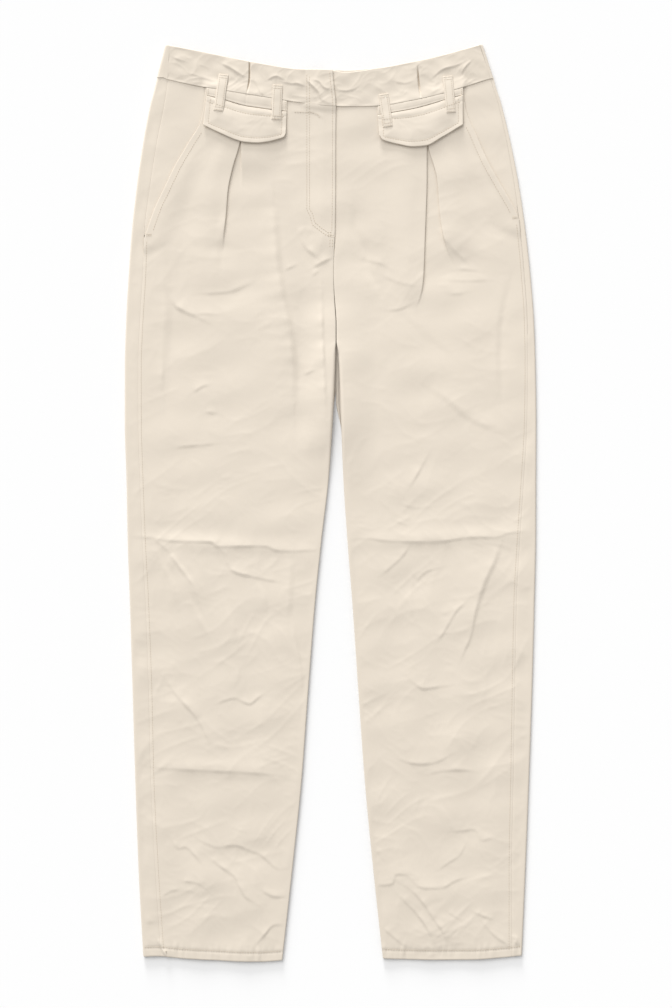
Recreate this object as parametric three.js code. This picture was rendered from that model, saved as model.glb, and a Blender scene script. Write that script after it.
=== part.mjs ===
// Chino trousers laid out flat with the front up: tapered legs, a high waist, slant side pockets, a welt with a
// pointed flap on each front, and an inverted pleat that opens below each flap.
// Millimetres. +X is the wearer's left, +Y points to the waist and +Z is up, off the surface that they lie on.
// "Across" is the distance out from the middle line X = 0, so both legs read alike.
import * as THREE from "three";

// Cloth and layers
const twill = 1.0; // wall of one layer of cloth
const doubledTwill = 1.6; // wall of the waistband, the flaps and the turned-up hems
const seamGap = 0.3;
const layerGap = 0.35; // air between layers that lie on each other
const frontLevel = 3.0; // middle of the front's wall
const waistbandLevel = 4.0; // middle of the front waistband's wall
const waistRise = 0.6; // the front climbs this much to meet the thicker waistband
const edgeFacets = 2; // facets of each quarter turn at an inner edge

// The waist seam at the centre front, and where the front and back crotch seams end
const waistSeamY = 435.5;
const frontCrotchY = 176;
const backCrotchY = 112;

// Fly: the wearer's right front laps over the left one
const fly = { endY: 297, underlap: 9, lapRun: 12, lapRamp: 19, fade: 26 };

// Slant pocket: how far the side piece runs in under the front, and the width that the front takes to lie down again
const pocket = { underlap: 13, ramp: 9 };

// Inverted pleat: two fold edges that face each other, each with cloth tucked back beneath it
const pleat = { tuck: 11, openRun: 34, spread: 46, arcFacets: 3, waistLift: 0.6, slitDepth: 0.9 };

// Belt loops
const loop = { width: 11, wall: 1.2, rows: 9, arch: 0.4 };

// Rows of the legs, from the waist seam to the hem line
const stations = [
  435.2, 420.5, 416, 406, 391, 373, 352, 330, 311, 304, 297, 288, 275, 256, 235, 210, 188, 176, 164, 132, 112, 92,
  46, 0, -36, -47, -59, -110, -170, -230, -282, -293, -305, -370, -432, -470, -492.2, -493.4, -504,
];
const hemTop = -493;

// Turns rows of numbers into objects with named columns.
function table(columns, rows) {
  const names = columns.split(" ");
  return rows.map((row) => Object.fromEntries(names.map((name, i) => [name, row[i]])));
}

// Outline of each leg from the front: the outer fold, the outseam that shows inside it, and the inner edge
const rightLeg = table("y outer seam inner", [
  [505, 181.5, 177.4, -1.5],
  [470, 190.6, 179.0, -2.8],
  [457, 193.6, 180.0, -4.1],
  [440, 198.0, 182.6, -5.8],
  [400, 205.7, 190.5, -5.5],
  [350, 213.0, 198.5, -5.4],
  [300, 218.6, 204.7, -4.8],
  [250, 222.2, 206.6, -3.4],
  [200, 225.0, 209.6, -6.2],
  [150, 226.4, 211.5, -5.2],
  [90, 226.5, 211.4, -2.5],
  [25, 224.6, 209.5, 2.2],
  [-40, 223.3, 207.0, 9.8],
  [-105, 221.0, 203.6, 16.5],
  [-205, 217.9, 199.9, 24.4],
  [-305, 214.9, 197.5, 31.8],
  [-405, 211.2, 192.5, 42.2],
  [-504, 205.8, 186.0, 53.2],
]);
const leftLeg = table("y outer seam inner", [
  [505, 167.3, 164.2, 1.5],
  [470, 178.5, 175.3, 2.8],
  [457, 182.3, 178.8, 4.1],
  [440, 187.9, 184.3, 5.8],
  [400, 197.6, 193.4, 5.5],
  [350, 207.4, 202.2, 5.4],
  [300, 214.7, 208.6, 4.8],
  [250, 220.1, 213.2, 3.4],
  [200, 224.0, 216.4, 6.2],
  [150, 225.7, 217.2, 9.4],
  [90, 226.5, 216.4, 11.6],
  [25, 226.2, 212.8, 14.3],
  [-40, 226.0, 208.6, 18.6],
  [-105, 224.6, 205.0, 23.7],
  [-205, 222.0, 203.0, 30.6],
  [-305, 218.5, 201.3, 37.7],
  [-405, 214.6, 199.6, 47.3],
  [-504, 210.2, 199.6, 58.0],
]);

// The waist from the wearer's right to left: its top edge, the seam below the waistband, and how far the top of the
// front lies below the top of the back
const waistRows = table("x top seam dip", [
  [-197, 506.5, 470.4, 0.3],
  [-181, 504.3, 466.4, 0.3],
  [-159, 500.4, 461.5, 0.3],
  [-137, 496.0, 457.1, 0.3],
  [-106, 489.6, 451.8, 0.3],
  [-71, 482.9, 446.2, 0.3],
  [-36, 478.0, 440.9, 0.3],
  [0, 477.0, 436.7, 0.5],
  [17, 476.5, 436.2, 2.6],
  [35, 477.6, 436.3, 1.8],
  [52, 479.0, 436.9, 0.4],
  [88, 485.2, 442.2, 0.3],
  [123, 493.0, 450.2, 0.3],
  [146, 499.4, 457.3, 0.3],
  [167, 505.2, 464.2, 0.3],
  [196, 513.0, 472.4, 0.3],
]);

// Slant pocket mouths, from the waist seam to where they meet the outseam
const rightMouth = table("y mouth", [
  [470, 136.0],
  [456, 137.5],
  [423, 142.0],
  [392, 159.0],
  [370, 171.8],
  [346, 183.2],
  [326, 192.8],
  [305, 200.6],
  [290, 206.0],
  [272, 232.0],
]);
const leftMouth = table("y mouth", [
  [470, 145.0],
  [456, 146.0],
  [434, 148.5],
  [404, 160.8],
  [375, 173.7],
  [346, 189.8],
  [322, 203.5],
  [308, 210.0],
  [290, 236.0],
]);

// Pleat fold edges, from the top of the waistband down
const rightPleat = table("y outerFold innerFold", [
  [500, 89.6, 88.6],
  [468, 90.0, 89.0],
  [450, 92.4, 91.4],
  [430, 94.4, 93.4],
  [396, 99.8, 98.4],
  [366, 108.4, 98.0],
  [344, 112.8, 97.4],
  [316, 115.0, 92.0],
  [294, 117.2, 88.0],
  [210, 124.0, 80.0],
]);
const leftPleat = table("y outerFold innerFold", [
  [500, 95.6, 94.6],
  [468, 97.6, 96.6],
  [444, 100.2, 99.2],
  [393, 107.4, 106.0],
  [357, 117.0, 106.0],
  [316, 120.5, 105.0],
  [289, 125.0, 103.4],
  [260, 136.0, 100.0],
  [234, 146.0, 94.0],
  [210, 150.0, 88.0],
]);

// Lower edge of each welt, and the outline of the flap that hangs from it
const rightWelt = table("across y", [
  [47.9, 431.0],
  [73, 433.8],
  [94, 437.0],
  [117, 443.6],
  [136.2, 448.4],
]);
const rightFlap = table("across y", [
  [49.2, 406.0],
  [51.5, 402.4],
  [58, 400.0],
  [70, 397.0],
  [81.5, 395.8],
  [94, 396.6],
  [104, 399.2],
  [120, 406.0],
  [140.0, 415.6],
]);
const leftWelt = table("across y", [
  [51.8, 427.4],
  [67, 429.6],
  [86, 432.6],
  [101, 436.2],
  [125, 443.2],
  [145.6, 449.0],
]);
const leftFlap = table("across y", [
  [53.6, 404.4],
  [57.2, 399.6],
  [65, 396.8],
  [75, 394.4],
  [90, 391.6],
  [105, 392.8],
  [121, 401.2],
  [145.6, 416.0],
]);

// Hem line of each leg
const rightHem = table("across rise", [
  [53, 0.8],
  [77, -0.7],
  [100, -0.5],
  [127, 0.9],
  [162, 2.8],
  [192, 5.4],
  [206, 4.8],
]);
const leftHem = table("across rise", [
  [58, 2.8],
  [80, 2.0],
  [113, 1.4],
  [152, 1.5],
  [192, 4.1],
  [210, 6.2],
]);

// Belt loops: the middle of the top end and of the lower end on the front, and the middle line of those on the back
const frontLoops = table("name x1 y1 x2 y2", [
  ["belt_loop_right_outer", -117.4, 471.4, -123.2, 430.6],
  ["belt_loop_right_inner", -58.0, 460.0, -59.6, 421.2],
  ["belt_loop_left_inner", 58.2, 450.0, 63.3, 413.4],
  ["belt_loop_left_outer", 128.7, 469.6, 132.5, 428.8],
]);
const backLoops = table("name x", [
  ["belt_loop_back_right", -112],
  ["belt_loop_back_centre", 3],
  ["belt_loop_back_left", 116],
]);

// Largest folds of the fronts as laid: from point 1 to point 2, bowed to the left of that way, up or down
const folds = table("x1 y1 x2 y2 bow width height", [
  [-70, 385, -40, 95, 6, 24, 1.1],
  [-44, 345, -36, 120, 9, 13, -0.7],
  [-128, 286, -92, 220, 12, 20, -0.5],
  [-165, 268, -98, 262, -14, 22, 0.7],
  [-190, 240, -182, 60, 4, 16, -0.6],
  [-160, 190, -70, 215, -10, 26, 0.6],
  [-222, -36, -8, -50, -3, 9, 0.8],
  [-180, -58, -110, -170, 12, 22, 0.8],
  [-112, -50, -48, -92, 16, 20, -0.7],
  [-170, -205, -120, -275, -6, 18, 0.7],
  [-214, -288, -32, -298, 2, 9, 0.7],
  [-180, -372, -72, -446, -8, 18, 0.8],
  [-140, -372, -42, -404, 6, 18, -0.6],
  [24, 345, 44, 235, -5, 16, -0.8],
  [52, 262, 92, 232, -6, 20, -0.6],
  [124, 250, 190, 110, 8, 24, 0.9],
  [64, 205, 160, 70, 10, 30, 0.8],
  [188, 250, 200, 60, 4, 16, 0.6],
  [22, -46, 222, -36, 4, 9, 0.8],
  [84, -98, 140, -58, 6, 18, -0.7],
  [136, -150, 190, -52, 4, 20, 0.9],
  [90, -290, 170, -225, -6, 24, 0.7],
  [76, -392, 118, -478, 8, 18, 0.8],
  [104, -420, 150, -372, 6, 20, -0.6],
]);

const clamp = (value, low, high) => Math.min(high, Math.max(low, value));
const mix = (a, b, t) => a + (b - a) * t;

// 0 at low and 1 at high, with a smooth climb between; low may be the larger of the two.
function step(low, high, value) {
  const t = clamp((value - low) / (high - low), 0, 1);
  return t * t * (3 - 2 * t);
}

// A smooth curve through one column of a table against another, with no overshoot between rows.
function curve(rows, along, value) {
  const points = rows.map((row) => [row[along], row[value]]).sort((a, b) => a[0] - b[0]);
  const slope = points.slice(1).map((p, i) => (p[1] - points[i][1]) / (p[0] - points[i][0]));
  const tangent = points.map((p, i) => {
    const before = slope[Math.max(i - 1, 0)];
    const after = slope[Math.min(i, slope.length - 1)];
    return before * after <= 0 ? 0 : (2 * before * after) / (before + after);
  });
  return (at) => {
    const s = clamp(at, points[0][0], points.at(-1)[0]);
    let i = 0;
    while (i < points.length - 2 && s > points[i + 1][0]) i += 1;
    const run = points[i + 1][0] - points[i][0];
    const t = (s - points[i][0]) / run;
    const bend = run * t * (1 - t) * (tangent[i] * (1 - t) - tangent[i + 1] * t);
    return mix(points[i][1], points[i + 1][1], t * t * (3 - 2 * t)) + bend;
  };
}

const waistTop = curve(waistRows, "x", "top");
const waistSeam = curve(waistRows, "x", "seam");
const waistDip = curve(waistRows, "x", "dip");
const centreFront = curve(leftLeg.filter((row) => row.y > frontCrotchY), "y", "inner");

// Everything that differs between the two legs
const right = {
  name: "right",
  sign: -1,
  legRows: rightLeg,
  mouthRows: rightMouth,
  pleatRows: rightPleat,
  weltRows: rightWelt,
  flapRows: rightFlap,
  hemRows: rightHem,
  mouthEndY: 292,
  sidePieceEnd: 288,
  outerEndY: 284,
  innerEndY: 346,
};
const left = {
  name: "left",
  sign: 1,
  legRows: leftLeg,
  mouthRows: leftMouth,
  pleatRows: leftPleat,
  weltRows: leftWelt,
  flapRows: leftFlap,
  hemRows: leftHem,
  mouthEndY: 311,
  sidePieceEnd: 304,
  outerEndY: 266,
  innerEndY: 232,
};
for (const side of [right, left]) {
  side.outer = curve(side.legRows, "y", "outer");
  side.seam = curve(side.legRows, "y", "seam");
  side.inner = curve(side.legRows, "y", "inner");
  side.mouth = curve(side.mouthRows, "y", "mouth");
  side.outerFold = curve(side.pleatRows, "y", "outerFold");
  side.innerFold = curve(side.pleatRows, "y", "innerFold");
  side.weltEdge = curve(side.weltRows, "across", "y");
  side.flapEdge = curve(side.flapRows, "across", "y");
  side.hem = curve(side.hemRows, "across", "rise");
}

// Rows follow the waist seam at the top and the hem line at the bottom, and run level between.
function rowY(side, across, station) {
  const waist = (waistSeam(side.sign * across) - waistSeamY) * step(240, waistSeamY, station);
  const hem = side.hem(across) * step(-400, -504, station);
  return station + waist + hem;
}

// Where a boundary that is given against y crosses a row
function onRow(side, boundary, station) {
  let across = boundary(station);
  for (let i = 0; i < 8; i += 1) across = boundary(rowY(side, across, station));
  return across;
}

// Height of one fold at a point: a soft ridge or trough that fades out at both ends
function foldHeight(fold, x, y) {
  const dx = fold.x2 - fold.x1;
  const dy = fold.y2 - fold.y1;
  const length = Math.hypot(dx, dy);
  const t = ((x - fold.x1) * dx + (y - fold.y1) * dy) / (length * length);
  if (t <= 0 || t >= 1) return 0;
  const off = ((y - fold.y1) * dx - (x - fold.x1) * dy) / length - fold.bow * 4 * t * (1 - t);
  return fold.height * Math.exp(-((off / fold.width) ** 2)) * Math.sin(Math.PI * t) ** 0.8;
}

// Middle of the front's wall, before anything is tucked beneath it
function frontBase(x, y) {
  const side = x < centreFront(y) ? right : left;
  const toOuter = side.outer(y) - side.sign * x;
  const toInner = y > frontCrotchY ? 99 : side.sign * x - side.inner(y);
  const calm = step(3, 22, toOuter) * step(2, 20, toInner);
  const rise = waistRise * step(waistSeam(x) - 45, waistSeam(x), y);
  const wrinkles = folds.reduce((sum, fold) => sum + foldHeight(fold, x, y), 0);
  return frontLevel + rise + clamp(wrinkles, -0.9, 1.9) * calm;
}

// Section of a fold edge, as [inboard, down] steps from the upper layer: a turn back, the tuck and a turn forward
function foldProfile(endY, y) {
  const closedY = endY + pleat.openRun;
  const turn = Math.max(Math.PI * step(endY, closedY, y), 1e-3);
  const tuck = pleat.tuck * clamp((y - closedY) / (waistSeamY - closedY), 0, 1);
  const radius = (Math.PI * (twill + layerGap)) / 2 / turn;
  const points = [];
  for (let i = 0; i <= pleat.arcFacets; i += 1) {
    const angle = (turn * i) / pleat.arcFacets;
    points.push([radius * Math.sin(angle), radius * (1 - Math.cos(angle))]);
  }
  const x0 = points.at(-1)[0] + tuck * Math.cos(turn);
  const z0 = points.at(-1)[1] + tuck * Math.sin(turn);
  for (let i = 0; i <= pleat.arcFacets; i += 1) {
    const angle = turn - (turn * i) / pleat.arcFacets;
    points.push([x0 + radius * (Math.sin(turn) - Math.sin(angle)), z0 + radius * (Math.cos(angle) - Math.cos(turn))]);
  }
  return { points, drop: points.at(-1)[1], reach: radius * Math.sin(Math.min(turn, Math.PI / 2)) };
}

// Height that the pleat's tucked layers give the cloth that lies over them
function pleatLift(side, across, y) {
  const outerDrop = foldProfile(side.outerEndY, y).drop;
  const innerDrop = foldProfile(side.innerEndY, y).drop;
  const beyond = (distance) => 1 - step(pleat.tuck + 3, pleat.spread, distance);
  const fromOuter = across - side.outerFold(y);
  const fromInner = side.innerFold(y) - across;
  if (fromOuter >= 0) return outerDrop * beyond(fromOuter);
  if (fromInner >= 0) return innerDrop * beyond(fromInner);
  return Math.max(outerDrop, innerDrop);
}

// Height that the front gains over the pocket's side piece and, at the fly, over the other front
function overlapLift(side, across, y) {
  const inside = side.mouth(y) - pocket.underlap - pocket.ramp;
  const besideMouth = step(inside, inside + pocket.ramp, across) * step(side.mouthEndY - 30, side.mouthEndY - 6, y);
  const fromEdge = centreFront(y) - side.sign * across;
  const overFly = 1 - step(fly.lapRun, fly.lapRun + fly.lapRamp, fromEdge);
  const inFly = side === right ? overFly * step(fly.endY - 3 - fly.fade, fly.endY - 3, y) : 0;
  return (twill + layerGap) * Math.max(besideMouth, inFly);
}

// Top of the front as it is faceted, and across the open pleat the level of its fold edges
function frontTop(side, across, y) {
  side.frontRows ??= stations.map((station) => frontRow(side, station));
  const facets = heightOn(side.frontRows, across, y);
  const bridged = frontBase(side.sign * across, y) + overlapLift(side, across, y) + pleatLift(side, across, y);
  const overPleat = across < side.outerFold(y) + 4 && across > side.innerFold(y) - 4;
  return Math.max(facets, overPleat ? bridged : 0) + twill / 2;
}

// Highest point of a grid's facets at a place, or 0 where there are none
function heightOn(rows, across, y) {
  let highest = 0;
  const test = (a, b, c) => {
    const area = (b.across - a.across) * (c.y - a.y) - (c.across - a.across) * (b.y - a.y);
    const u = ((across - a.across) * (c.y - a.y) - (c.across - a.across) * (y - a.y)) / area;
    const v = ((b.across - a.across) * (y - a.y) - (across - a.across) * (b.y - a.y)) / area;
    const within = u >= -1e-3 && v >= -1e-3 && u + v <= 1.001;
    if (within) highest = Math.max(highest, a.z + u * (b.z - a.z) + v * (c.z - a.z));
  };
  for (let j = 0; j < rows.length - 1; j += 1) {
    for (let i = 0; i < rows[j].length - 1; i += 1) {
      const corners = [rows[j][i], rows[j][i + 1], rows[j + 1][i + 1], rows[j + 1][i]];
      const spread = corners.map((p) => p.across);
      if (Math.min(...spread) > across || Math.max(...spread) < across) continue;
      test(corners[0], corners[1], corners[2]);
      test(corners[0], corners[2], corners[3]);
    }
  }
  return highest;
}

// A quarter turn at an inner edge, as [inboard, turn] steps, which runs straight on to the seam where there is no wrap
function edgeTurn(wrap, radius) {
  const length = (radius * Math.PI) / 2;
  const angle = Math.max((wrap * Math.PI) / 2, 1e-3);
  const points = [];
  for (let i = 1; i <= edgeFacets; i += 1) {
    const a = (angle * i) / edgeFacets;
    points.push([(length / angle) * Math.sin(a), (length / angle) * (1 - Math.cos(a))]);
  }
  return { points, length };
}

const wallAt = (station) => (station < hemTop ? doubledTwill : twill);

// One row of a front, as steps from the outseam or the pocket mouth to the centre front or the inner leg
function frontRow(side, station) {
  const wrap = step(frontCrotchY + 3, frontCrotchY - 14, station);
  const radius = (frontLevel - wallAt(station) / 2 - seamGap) / 2;
  const edge = edgeTurn(wrap, radius);
  const lap = side === left ? fly.underlap * step(fly.endY + 3, fly.endY + 8, station) : 0;
  const outboard = (y) => Math.min(side.mouth(y), side.seam(y) - seamGap / 2);
  const open = (y) => side.sign * centreFront(Math.max(y, frontCrotchY)) + seamGap / 2 - lap + edge.length;
  const inboard = (y) => mix(open(y), side.inner(y) + twill / 2 + radius, wrap);
  const start = onRow(side, outboard, station);
  const finish = onRow(side, inboard, station);
  const outerAt = onRow(side, side.outerFold, station);
  const innerAt = onRow(side, side.innerFold, station);
  const outerProfile = foldProfile(side.outerEndY, rowY(side, outerAt, station));
  const innerProfile = foldProfile(side.innerEndY, rowY(side, innerAt, station));
  const outerStart = outerAt + outerProfile.reach + twill / 2;
  const innerStart = innerAt - innerProfile.reach - twill / 2;

  const lifted = (across) => [across, pleatLift(side, across, rowY(side, across, station))];
  const section = [];
  const [besidePocket, besidePleat] = [start - pocket.underlap - pocket.ramp - 1, outerStart + 14];
  const outerColumns = [start, start - pocket.underlap - 1, besidePocket, mix(besidePocket, besidePleat, 0.5), besidePleat];
  for (const across of outerColumns) section.push(lifted(across));
  for (const [inward, down] of outerProfile.points) section.push([outerStart - inward, outerProfile.drop - down]);
  const base = innerProfile.points.map(([inward, down]) => [innerStart + inward, innerProfile.drop - down]).reverse();
  section.push([(section.at(-1)[0] + base[0][0]) / 2, 0], ...base);
  const innerColumns = [
    ...[14, 24, 35, 47].map((beside) => innerStart - beside),
    ...[1 / 3, 2 / 3, 1].map((t) => mix(innerStart - 47, finish, t)),
  ];
  for (const across of innerColumns) section.push(lifted(across));

  const even = step(205, 150, station);
  const row = section.map(([across, lift], i) => {
    const placed = mix(across, mix(start, finish, i / (section.length - 1)), even);
    const y = rowY(side, placed, station);
    const z = frontBase(side.sign * placed, y) + overlapLift(side, placed, y) + lift * (1 - even);
    return { across: placed, y, z };
  });
  const last = row.at(-1);
  for (const [inward, down] of edge.points) row.push({ across: last.across - inward, y: last.y, z: last.z - down });
  return row;
}

// Lift of the back where it lies over its belt loops
function loopLift(x, y) {
  const below = waistSeam(x) - y;
  const along = 1 - clamp((below - 15) / 4, 0, 1);
  const beside = backLoops.map((strap) => 1 - clamp((Math.abs(x - strap.x) - loop.width / 2 - 1) / 4, 0, 1));
  return (loop.wall + seamGap) * along * Math.max(...beside);
}

// Columns of the back that keep to the edges of each lifted place
const loopColumns = (side) =>
  backLoops
    .filter((strap) => strap.x * side.sign > 0 || strap.name === "belt_loop_back_centre")
    .flatMap((strap) => [10.5, 6.5, -6.5, -10.5].map((beside) => side.sign * strap.x + beside))
    .filter((across) => across > 4 * side.sign + 2)
    .sort((a, b) => b - a);

// One row of a back: the strip that wraps on to the front, the outer fold, the flat underside and the inner edge
function backRow(side, station) {
  const level = wallAt(station) / 2;
  const seamAt = onRow(side, (y) => side.seam(y) + seamGap / 2, station);
  const seamY = rowY(side, seamAt, station);
  const top = frontBase(side.sign * seamAt, seamY);
  const radius = (top - level) / 2;
  const foldAt = onRow(side, (y) => side.outer(y) - twill / 2, station) - radius;
  const foldY = rowY(side, foldAt, station);
  const row = [{ across: Math.min(seamAt, foldAt - 0.6), y: seamY, z: top }];
  const facets = 4;
  for (let i = 0; i <= facets; i += 1) {
    const angle = (Math.PI * i) / facets;
    row.push({ across: foldAt + radius * Math.sin(angle), y: foldY, z: level + radius * (1 + Math.cos(angle)) });
  }
  const wrap = step(backCrotchY + 4, backCrotchY - 18, station);
  const quarter = (frontLevel - level - seamGap) / 2;
  const edge = edgeTurn(wrap, quarter);
  const open = (y) => side.sign * centreFront(Math.max(y, frontCrotchY)) + seamGap / 2 + edge.length;
  const inboard = (y) => mix(open(y), side.inner(y) + twill / 2 + quarter, wrap);
  const finish = onRow(side, inboard, station);
  const near = loopColumns(side);
  const even = step(400, 380, station);
  near.forEach((column, i) => {
    const across = mix(column, mix(foldAt, finish, (i + 1) / (near.length + 1)), even);
    const y = rowY(side, across, station);
    row.push({ across, y, z: level + loopLift(side.sign * across, y) });
  });
  const endY = rowY(side, finish, station);
  const endZ = level + loopLift(side.sign * finish, endY);
  row.push({ across: finish, y: endY, z: endZ });
  for (const [inward, up] of edge.points) row.push({ across: finish - inward, y: endY, z: endZ + up });
  return row;
}

// One row of the pocket's side piece, which shows in the slant mouth and runs in under the front
function sidePieceRow(side, station) {
  const outboard = onRow(side, (y) => side.seam(y) - seamGap / 2, station);
  const inboard = onRow(side, (y) => side.mouth(y) - pocket.underlap, station);
  return Array.from({ length: 7 }, (_, i) => {
    const across = mix(outboard, inboard, i / 6);
    const y = rowY(side, across, station);
    return { across, y, z: frontBase(side.sign * across, y) };
  });
}

// Where the waistband's front ends at the outseam
const bandSeam = (side, y) => Math.min(side.seam(y), side.outer(y) - 3.0);

// Height of the waistband's front: over the pleat below it, in the pleat's slit, and over the other half at the fly
function bandHeight(side, across, y) {
  const x = side.sign * across;
  const up = clamp((y - waistSeam(x)) / (waistTop(x) - waistSeam(x)), 0, 1);
  const fold = (side.outerFold(y) + side.innerFold(y)) / 2;
  const over = 2.7 * pleat.waistLift * mix(1, 0.3, up) * (1 - step(8, pleat.spread, Math.abs(across - fold)));
  const slit = pleat.slitDepth * Math.max(0, 1 - Math.abs(across - fold) / 1.8) * step(0.95, 0.85, up);
  const fromEdge = centreFront(y) - x;
  const lap = side === right ? (doubledTwill + layerGap) * (1 - step(fly.lapRun, fly.lapRun + fly.lapRamp, fromEdge)) : 0;
  return waistbandLevel + over - slit + lap;
}

// A point of the waistband's front, u from the outseam to the fly and v from the seam to the top edge
function bandPoint(side, inboardAt, v, across) {
  let y = 0;
  let placed = across(470);
  for (let i = 0; i < 8; i += 1) {
    const x = side.sign * placed;
    y = mix(waistSeam(x), waistTop(x) - waistDip(x), v);
    placed = clamp(across(y), inboardAt(y), bandSeam(side, y) - seamGap / 2);
  }
  return { across: placed, y, z: bandHeight(side, placed, y) };
}

function bandRows(side) {
  const lap = side === left ? fly.underlap : 0;
  const inboardAt = (y) => side.sign * centreFront(y) + seamGap / 2 - lap;
  const outboardAt = (y) => bandSeam(side, y) - seamGap / 2;
  const foldAt = (y) => (side.outerFold(y) + side.innerFold(y)) / 2;
  const columns = [
    ...[0, 0.35, 0.7].map((t) => (y) => mix(outboardAt(y), foldAt(y) + 9, t)),
    ...[9, 3.6, 1.8, 0, -1.8, -3.6, -9].map((beside) => (y) => foldAt(y) + beside),
    ...[0.3, 0.6].map((t) => (y) => mix(foldAt(y) - 9, inboardAt(y) + 31, t)),
    ...[31, 25, 18, 12, 0].map((beside) => (y) => inboardAt(y) + beside),
  ];
  return [0, 0.2, 0.5, 0.8, 0.9, 1].map((v) => columns.map((column) => bandPoint(side, inboardAt, v, column)));
}

// The back of the waistband: both strips that wrap on to the front, the outer folds and the flat underside
function backBandRows() {
  const level = doubledTwill / 2;
  const radius = (waistbandLevel - level) / 2;
  const half = (side, v) => {
    const settle = (target) => {
      let across = target(480);
      let y = 0;
      for (let i = 0; i < 8; i += 1) {
        y = mix(waistSeam(side.sign * across), waistTop(side.sign * across), v);
        across = target(y);
      }
      return { across, y };
    };
    const seam = settle((y) => bandSeam(side, y) + seamGap / 2);
    const fold = settle((y) => side.outer(y) - level - radius);
    const points = [{ ...seam, z: waistbandLevel }];
    for (let i = 0; i <= 4; i += 1) {
      const angle = (Math.PI * i) / 4;
      points.push({ across: fold.across + radius * Math.sin(angle), y: fold.y, z: level + radius * (1 + Math.cos(angle)) });
    }
    for (const beside of [10.5, 6.5, -6.5, -10.5]) {
      const strap = backLoops.find((each) => each.x * side.sign > 20);
      const across = side.sign * strap.x + beside;
      const x = side.sign * across;
      const y = mix(waistSeam(x), waistTop(x), v);
      points.push({ across, y, z: level + loopLift(x, y) });
    }
    return points.map((p) => ({ ...p, across: side.sign * p.across }));
  };
  return [0, 0.35, 0.7, 1].map((v) => {
    const middle = [-10.5, -6.5, 6.5, 10.5].map((beside) => {
      const x = backLoops.find((each) => each.name === "belt_loop_back_centre").x + beside;
      const y = mix(waistSeam(x), waistTop(x), v);
      return { across: x, y, z: level + loopLift(x, y) };
    });
    return [...half(right, v), ...middle, ...half(left, v).reverse()];
  });
}

// Flat pieces that lie on a front: the welt below the waistband, and the flap below the welt
const span = (rows, t) => mix(rows[0].across, rows.at(-1).across, t);

function weltRows(side) {
  return [0, 0.5, 1].map((v) =>
    Array.from({ length: 13 }, (_, i) => {
      const across = span(side.weltRows, i / 12);
      const y = mix(waistSeam(side.sign * across) - seamGap, side.weltEdge(across), v);
      return { across, y, z: frontTop(side, across, y) + seamGap + twill / 2 };
    }),
  );
}

function flapRows(side) {
  return [0, 0.25, 0.5, 0.75, 1].map((v) =>
    Array.from({ length: 19 }, (_, i) => {
      const t = i / 18;
      const across = mix(span(side.weltRows, t), span(side.flapRows, t), v);
      const top = side.weltEdge(span(side.weltRows, t)) - seamGap;
      const y = mix(top, side.flapEdge(span(side.flapRows, t)), v);
      return { across, y, z: frontTop(side, across, y) + seamGap + doubledTwill / 2 };
    }),
  );
}

// Top of whatever lies under a belt loop at a point of the front
function coveredTop(x, y) {
  const side = x < 0 ? right : left;
  const across = side.sign * x;
  if (y > waistSeam(x)) return bandHeight(side, across, y) + doubledTwill / 2;
  const front = frontTop(side, across, y);
  const onFlap = across > side.weltRows[0].across - 1 && across < side.weltRows.at(-1).across + 1;
  if (onFlap && y > side.weltEdge(across)) return front + seamGap + twill;
  if (onFlap && y > side.flapEdge(across)) return front + seamGap + doubledTwill;
  return front;
}

function loopRows(strap) {
  const { x1, y1, x2, y2 } = strap;
  const length = Math.hypot(x2 - x1, y2 - y1);
  const [sideX, sideY] = [(y1 - y2) / length, (x2 - x1) / length];
  return Array.from({ length: loop.rows }, (_, j) => {
    const t = j / (loop.rows - 1);
    return [-0.5, 0, 0.5].map((beside) => {
      const x = mix(x1, x2, t) + beside * loop.width * sideX;
      const y = mix(y1, y2, t) + beside * loop.width * sideY;
      const under = Math.max(...[-6, -3, 0, 3, 6].map((near) => coveredTop(x, clamp(y + near, y2, y1))));
      const z = under + seamGap + loop.wall / 2 + loop.arch * Math.sin(Math.PI * t);
      return { across: x, y, z };
    });
  });
}

function backLoopRows(strap) {
  const top = waistTop(strap.x) - 17;
  const bottom = waistSeam(strap.x) - 13;
  return [0, 0.5, 1].map((t) =>
    [-0.5, 0.5].map((beside) => ({ across: strap.x + beside * loop.width, y: mix(top, bottom, t), z: loop.wall / 2 })),
  );
}

function enclosedVolume(points, index) {
  let sum = 0;
  for (let i = 0; i < index.length; i += 3) {
    const [a, b, c] = [points[index[i]], points[index[i + 1]], points[index[i + 2]]];
    sum += a.dot(new THREE.Vector3().crossVectors(b, c));
  }
  return sum / 6;
}

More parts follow.
